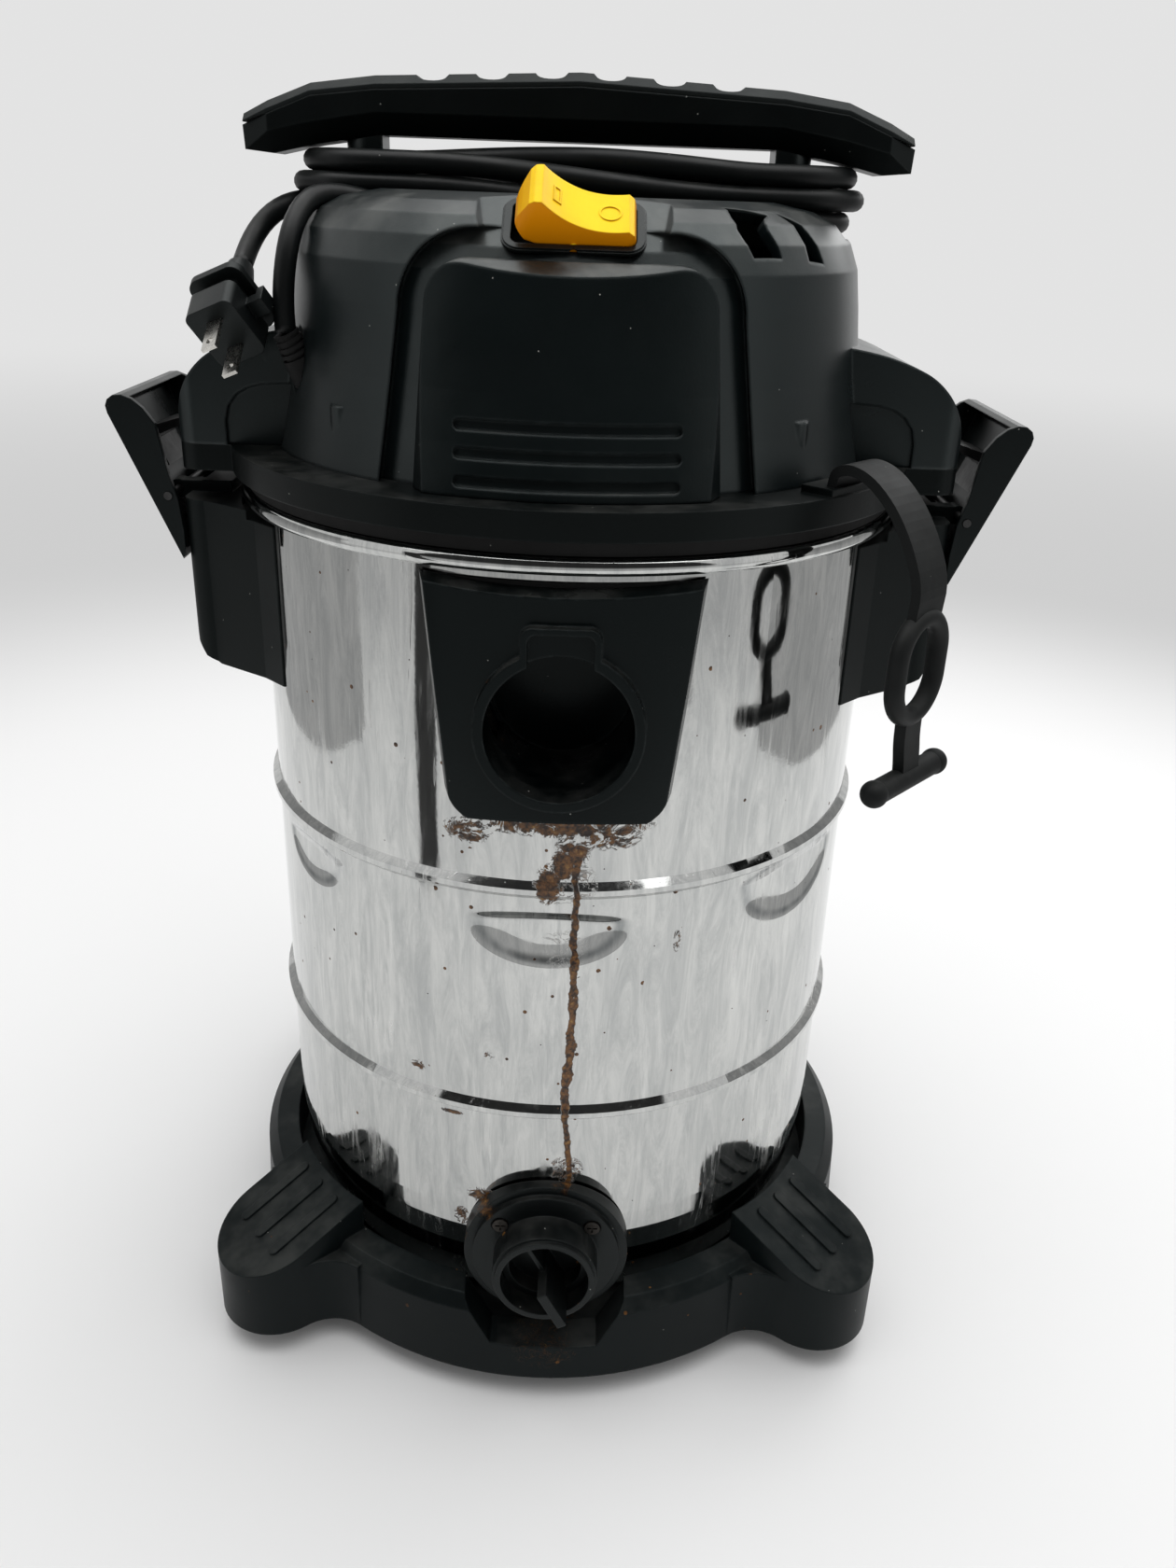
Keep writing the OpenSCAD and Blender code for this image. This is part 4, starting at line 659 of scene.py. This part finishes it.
def rocker_yellow(groups):
    """Amber switch plastic, glossy, with painted shade down its sides, a little dirt in the grain."""
    material, net, finish = new_material("amber_rocker")
    place = net.place()
    tone = net.noise(place, scale=60, detail=3, rough=0.6)
    top = net.mix(net.band(tone, 0.3, 0.7), AMBER_DEEP, AMBER_BRIGHT)
    upward = net.split(net.add("ShaderNodeNewGeometry").outputs["Normal"])[2]
    # painted shade: faces that turn away from the top get a darker amber
    colour = net.mix(net.band(upward, 0.15, 0.75), AMBER_PAINTED_SIDE_SHADE, top)
    top_film_and_lint = net.placed(groups["dust"], Place=place, Colour=colour, Dust_Colour=AMBER_DIRT,
                       Film=0.05, Lint=0.2)
    net.feed(finish["Base Color"], top_film_and_lint["Colour"])
    texture = net.placed(groups["grain"], Place=place, Scale=1100.0, Smudge=0.2)
    net.feed(finish["Roughness"], net.plus(texture["Rough Change"], 0.36))
    finish["Specular IOR Level"].default_value = 0.10
    bevel = net.add("ShaderNodeBevel", samples=BEVEL_SAMPLES)
    bevel.inputs["Radius"].default_value = 0.0011
    normal = net.bump(texture["Height"], strength=0.05, distance=BUMP_STEP, normal=bevel.outputs[0])
    net.feed(finish["Normal"], normal)
    return material


def plain_metal(name, colour, rough, brushed=0.12, rust=0.0):
    """Plated or pressed steel and aluminium of the small parts."""
    material, net, finish = new_material(name)
    place = net.place()
    tone = net.noise(place, scale=90, detail=4, rough=0.6)
    dark = tuple(c * 0.7 for c in colour) + (1,)
    shade = net.mix(net.band(tone, 0.35, 0.65), dark, (*colour, 1))
    if rust:
        speckle = net.noise(place, scale=240, detail=4, rough=0.7)
        spots = net.band(speckle, 0.62, 0.70, low_out=0.0, high_out=rust)
        shade = net.mix(spots, shade, RUST)
        net.feed(finish["Metallic"], net.minus(1.0, spots))
    else:
        finish["Metallic"].default_value = 1.0
    net.feed(finish["Base Color"], shade)
    lines = net.noise(net.moved(place, scale=(1, 1, 0.1)), scale=900, detail=2)
    net.feed(finish["Roughness"], net.band(lines, 0.2, 0.8, low_out=rough, high_out=rough + brushed))
    net.feed(finish["Normal"], net.bump(lines, strength=0.08, distance=BUMP_STEP))
    return material


def pleated_paper():
    """Filter paper, fibrous, grey where dust was drawn in."""
    material, net, finish = new_material("filter_paper")
    place = net.place()
    fibres = net.noise(net.moved(place, scale=(1, 1, 0.3)), scale=700, detail=4, rough=0.7)
    used = net.band(net.noise(place, scale=28, detail=4, rough=0.6), 0.35, 0.75)
    clean = net.mix(net.band(fibres, 0.3, 0.7), PAPER_DULL, PAPER_CLEAN)
    net.feed(finish["Base Color"], net.mix(net.times(used, 0.55), clean, PAPER_USED))
    finish["Roughness"].default_value = 0.9
    net.feed(finish["Normal"], net.bump(fibres, strength=0.3, distance=0.0003))
    return material


def cord_jacket(groups, name, colour, rough):
    """Flexible jacket and rubber: soft sheen, faint wrinkles, dust, and painted top light on faces that
    look up.
    """
    material, net, finish = new_material(name)
    place = net.place()
    wrinkle = net.noise(net.moved(place, scale=(0.5, 1, 1)), scale=240, detail=3, rough=0.6)
    smear = net.noise(place, scale=30, detail=4, rough=0.6)
    # the pale film on faces that look up is partly dust and partly painted top light
    top_film_and_lint = net.placed(groups["dust"], Place=place, Colour=(*colour, 1), Film=0.07, Lint=0.35)
    net.feed(finish["Base Color"], top_film_and_lint["Colour"])
    net.feed(finish["Roughness"], net.band(smear, 0.3, 0.7, low_out=rough, high_out=rough + 0.16))
    finish["Specular IOR Level"].default_value = 0.25
    net.feed(finish["Normal"], net.bump(wrinkle, strength=0.10, distance=0.0004))
    return material


def make_materials():
    groups = {"dust": dust_and_top_light_group(), "grain": grain_group(), "wear_and_edge_highlight": edge_wear_and_highlight_group(),
              "scuff": scuff_group(), "residue": residue_group()}

    def plastic(name, colour, rough, grain, **rest):
        return moulded(groups, name, colour, rough, grain, **rest)

    return {
        "steel": drum_steel(groups),
        "base": plastic("base_moulding", (0.0030, 0.0048, 0.0052), 0.40, 1700.0, film=0.09,
                        rub=0.5, round_edge=0.0014, stain=0.8, gloss=0.12),
        "head": plastic("motor_cover_moulding", (0.0036, 0.0062, 0.0068), 0.33, 1900.0, film=0.20,
                        rub=0.5, round_edge=0.0018, gloss=0.46),
        "lid": plastic("lid_moulding", (0.0020, 0.0030, 0.0030), 0.38, 1500.0, film=0.08,
                       lint=0.9, gloss=0.14),
        "panel": plastic("front_panel_moulding", (0.0036, 0.0060, 0.0064), 0.33, 2000.0, film=0.26,
                         lint=1.0, rub=0.5, round_edge=0.0016, gloss=0.26),
        "handle": plastic("handle_moulding", (0.0016, 0.0024, 0.0025), 0.38, 1600.0, film=0.05,
                          rub=0.15),
        "grip": plastic("soft_grip", (0.0040, 0.0052, 0.0052), 0.58, 2400.0, grain_depth=0.2,
                        film=0.07, rub=0.15),
        "bracket": plastic("bracket_moulding", (0.0042, 0.0056, 0.0056), 0.42, 1600.0, film=0.10,
                           gloss=0.12),
        "lever": plastic("lever_moulding", (0.0034, 0.0046, 0.0048), 0.30, 1200.0, grain_depth=0.06,
                         film=0.08),
        "plate": plastic("port_plate_moulding", (0.0012, 0.0026, 0.0028), 0.25, 1200.0,
                         grain_depth=0.05, film=0.10, lint=0.9, rub=1.0, round_edge=0.0013,
                         stain=0.5, gloss=0.17),
        "spout": plastic("drain_moulding", (0.0028, 0.0036, 0.0038), 0.34, 1300.0, grain_depth=0.08,
                         film=0.08, lint=0.9, stain=0.75),
        "bezel": plastic("switch_frame_moulding", (0.0020, 0.0026, 0.0026), 0.28, 1100.0,
                         grain_depth=0.04, film=0.04, round_edge=0.0006),
        "inner": plastic("filter_cage_moulding", (0.02, 0.021, 0.021), 0.5, 900.0),
        "wheel": plastic("caster_wheel_moulding", (0.010, 0.010, 0.010), 0.5, 900.0, film=0.2),
        "ball": plastic("float_moulding", (0.70, 0.70, 0.68), 0.35, 900.0, rub=0.0, gloss=0.5),
        "gasket": cord_jacket(groups, "gasket_rubber", (0.006, 0.006, 0.006), 0.6),
        "strap": cord_jacket(groups, "strap_rubber", (0.0030, 0.0040, 0.0040), 0.55),
        "cord": cord_jacket(groups, "cord_jacket", (0.0034, 0.0044, 0.0046), 0.36),
        "plug": plastic("plug_moulding", (0.0036, 0.0046, 0.0048), 0.42, 1500.0, film=0.07,
                        round_edge=0.0007),
        "rocker": rocker_yellow(groups),
        "zinc": plain_metal("zinc_plated_steel", (0.62, 0.61, 0.58), 0.28),
        "blade": plain_metal("plug_blade_metal", (0.72, 0.70, 0.66), 0.22),
        "dark_screw": plain_metal("blackened_screw", (0.06, 0.055, 0.05), 0.38, rust=0.8),
        "dark_steel": plain_metal("blackened_latch_steel", (0.10, 0.10, 0.10), 0.32),
        "alloy": plain_metal("cast_alloy", (0.66, 0.66, 0.65), 0.45, brushed=0.2),
        "paper": pleated_paper(),
    }


FINISH_OF = {
    "steel": ["drum", "drum_front", "drum_bottom"],
    "base": ["base"],
    "head": ["motor_cover", "handle_posts", "blower_port"],
    "lid": ["lid"],
    "panel": ["front_panel"],
    "handle": ["handle_body"],
    "grip": ["handle_grip"],
    "bracket": ["bracket_l", "bracket_r"],
    "lever": ["latch_lever_l", "latch_lever_r"],
    "plate": ["inlet_plate", "inlet_deflector"],
    "spout": ["drain_spout", "drain_cap"],
    "bezel": ["switch_bezel", "switch_body"],
    "inner": ["filter_cage", "filter_nut"],
    "wheel": ["caster_wheel_fl", "caster_wheel_fr", "caster_wheel_rr", "caster_wheel_rl"],
    "ball": ["float_ball"],
    "gasket": ["head_seal", "inlet_gasket", "drain_gasket", "cord_gland"],
    "strap": ["strap"],
    "plug": ["plug"],
    "rocker": ["switch_rocker"],
    "zinc": ["caster_fork_fl", "caster_fork_fr", "caster_fork_rr", "caster_fork_rl", "handle_screws",
             "motor_shaft"],
    "dark_steel": ["latch_pin_l", "latch_pin_r", "latch_hook_l", "latch_hook_r"],
    "blade": ["plug_blades"],
    "dark_screw": ["drain_screws", "bracket_rivets", "cover_screws"],
    "alloy": ["fan", "fan_housing", "motor"],
    "paper": ["filter"],
}


def finish_nodes(materials):
    for finish, names in FINISH_OF.items():
        for name in names:
            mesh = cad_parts[name].data
            mesh.materials.clear()
            mesh.materials.append(materials[finish])


# ---- studio ----

FLOOR_TONE = 0.84
FLOOR_REACH = 12
FLOOR_ROUGHNESS = 0.85
FLOOR_SPECULAR = 0.2
# tone of the far floor where it starts to glow and of everything behind it, with the distances
# from the axis between which each comes in
MID_TONE = 0.62
MID_FROM, MID_TO = 0.75, 1.5
BACK_TONE = 0.77
BACK_FROM, BACK_TO = 1.6, 4.5
# strength of the sky for the light it gives
SKY = 0.50
# lamps: name, place, aim, size, watts
LAMPS = [
    ("top_softbox", (0.10, -0.05, 2.1), (0, 0, 0.2), (2.4, 2.6), 40),
    ("back_softbox", (0.9, 1.1, 1.2), (0, 0, 0.45), (0.9, 0.9), 5),
]
# cards that only reflections see: name, azimuth from the front, distance, width, height,
# tone at foot and top, heights between which it fades
CARDS = [
    ("room_in_front", 0, 0.72, 1.5, 1.5, 0.50, 0.03, 0.22, 0.48),
    ("dark_edge_left", -44.7, 0.60, 0.075, 0.55, 0.05, 0.03, 0.0, 0.5),
    ("grey_side_left", -98, 0.80, 0.85, 0.7, 0.46, 0.30, 0.1, 0.6),
    ("grey_side_right", 98, 0.80, 0.85, 0.7, 0.46, 0.30, 0.1, 0.6),
]


def grey(tone):
    return (tone, tone, tone, 1)


def seen_ray(net):
    """One for rays that look at the studio, nought for those that only light the part."""
    rays = net.add("ShaderNodeLightPath").outputs
    return net.larger(rays["Is Camera Ray"], rays["Is Glossy Ray"], rays["Is Transmission Ray"])


def make_floor():
    mesh = bpy.data.meshes.new("floor")
    reach = FLOOR_REACH
    mesh.from_pydata([(-reach, -reach, 0), (reach, -reach, 0), (reach, reach, 0), (-reach, reach, 0)],
                     [], [(0, 1, 2, 3)])
    floor = bpy.data.objects.new("floor", mesh)
    link(floor)
    material, net, finish = new_material("pale_floor")
    finish["Base Color"].default_value = grey(FLOOR_TONE)
    finish["Roughness"].default_value = FLOOR_ROUGHNESS
    finish["Specular IOR Level"].default_value = FLOOR_SPECULAR
    glow = net.add("ShaderNodeEmission")
    length = net.add("ShaderNodeVectorMath", operation="LENGTH")
    net.feed(length.inputs[0], net.place())
    far = net.band(length.outputs["Value"], MID_FROM, MID_TO)
    tone = net.band(length.outputs["Value"], BACK_FROM, BACK_TO)
    net.feed(glow.inputs["Color"], net.mix(tone, grey(MID_TONE), grey(BACK_TONE)))
    blend = net.add("ShaderNodeMixShader")
    net.feed(blend.inputs[0], net.times(seen_ray(net), far))
    tree = material.node_tree
    net.feed(blend.inputs[1], tree.nodes["Principled BSDF"].outputs[0])
    net.feed(blend.inputs[2], glow.outputs[0])
    net.feed(tree.nodes["Material Output"].inputs["Surface"], blend.outputs[0])
    mesh.materials.append(material)


def make_card(name, azimuth, distance, width, height, foot_tone, top_tone, fade_low, fade_high):
    """A flat card that only reflections see, standing on the floor and facing the axis."""
    mesh = bpy.data.meshes.new(name)
    half = width / 2
    mesh.from_pydata([(-half, 0, 0), (half, 0, 0), (half, 0, height), (-half, 0, height)],
                     [], [(0, 1, 2, 3)])
    card = bpy.data.objects.new(name, mesh)
    turn = math.radians(azimuth)
    card.location = (distance * math.sin(turn), -distance * math.cos(turn), 0)
    card.rotation_euler = (0, 0, turn)
    link(card)
    material, net, _ = new_material(name)
    glow = net.add("ShaderNodeEmission")
    up = net.split(net.place())[2]
    shade = net.mix(net.band(up, fade_low, fade_high), grey(foot_tone), grey(top_tone))
    net.feed(glow.inputs["Color"], shade)
    net.feed(material.node_tree.nodes["Material Output"].inputs["Surface"], glow.outputs[0])
    mesh.materials.append(material)
    card.visible_camera = False
    card.visible_diffuse = False
    card.visible_shadow = False


def make_light():
    world = bpy.data.worlds.new("studio")
    bpy.context.scene.world = world
    world.use_nodes = True
    net = Net(world.node_tree)
    sky = world.node_tree.nodes["Background"]
    sky.inputs["Color"].default_value = grey(1)
    net.feed(sky.inputs["Strength"], net.band(seen_ray(net), 0.0, 1.0, low_out=SKY, high_out=BACK_TONE))
    for name, place, aim, size, watts in LAMPS:
        lamp = bpy.data.lights.new(name, "AREA")
        lamp.shape = "RECTANGLE"
        lamp.size, lamp.size_y = size
        lamp.energy = watts
        holder = bpy.data.objects.new(name, lamp)
        holder.location = place
        holder.rotation_euler = (Vector(aim) - Vector(place)).to_track_quat("-Z", "Y").to_euler()
        link(holder)


def make_studio():
    make_floor()
    make_light()
    for card in CARDS:
        make_card(*card)
    bpy.context.scene.view_settings.view_transform = "Standard"


make_camera()
power_cord = make_cord()
materials = make_materials()
finish_nodes(materials)
power_cord.data.materials.append(materials["cord"])
make_studio()
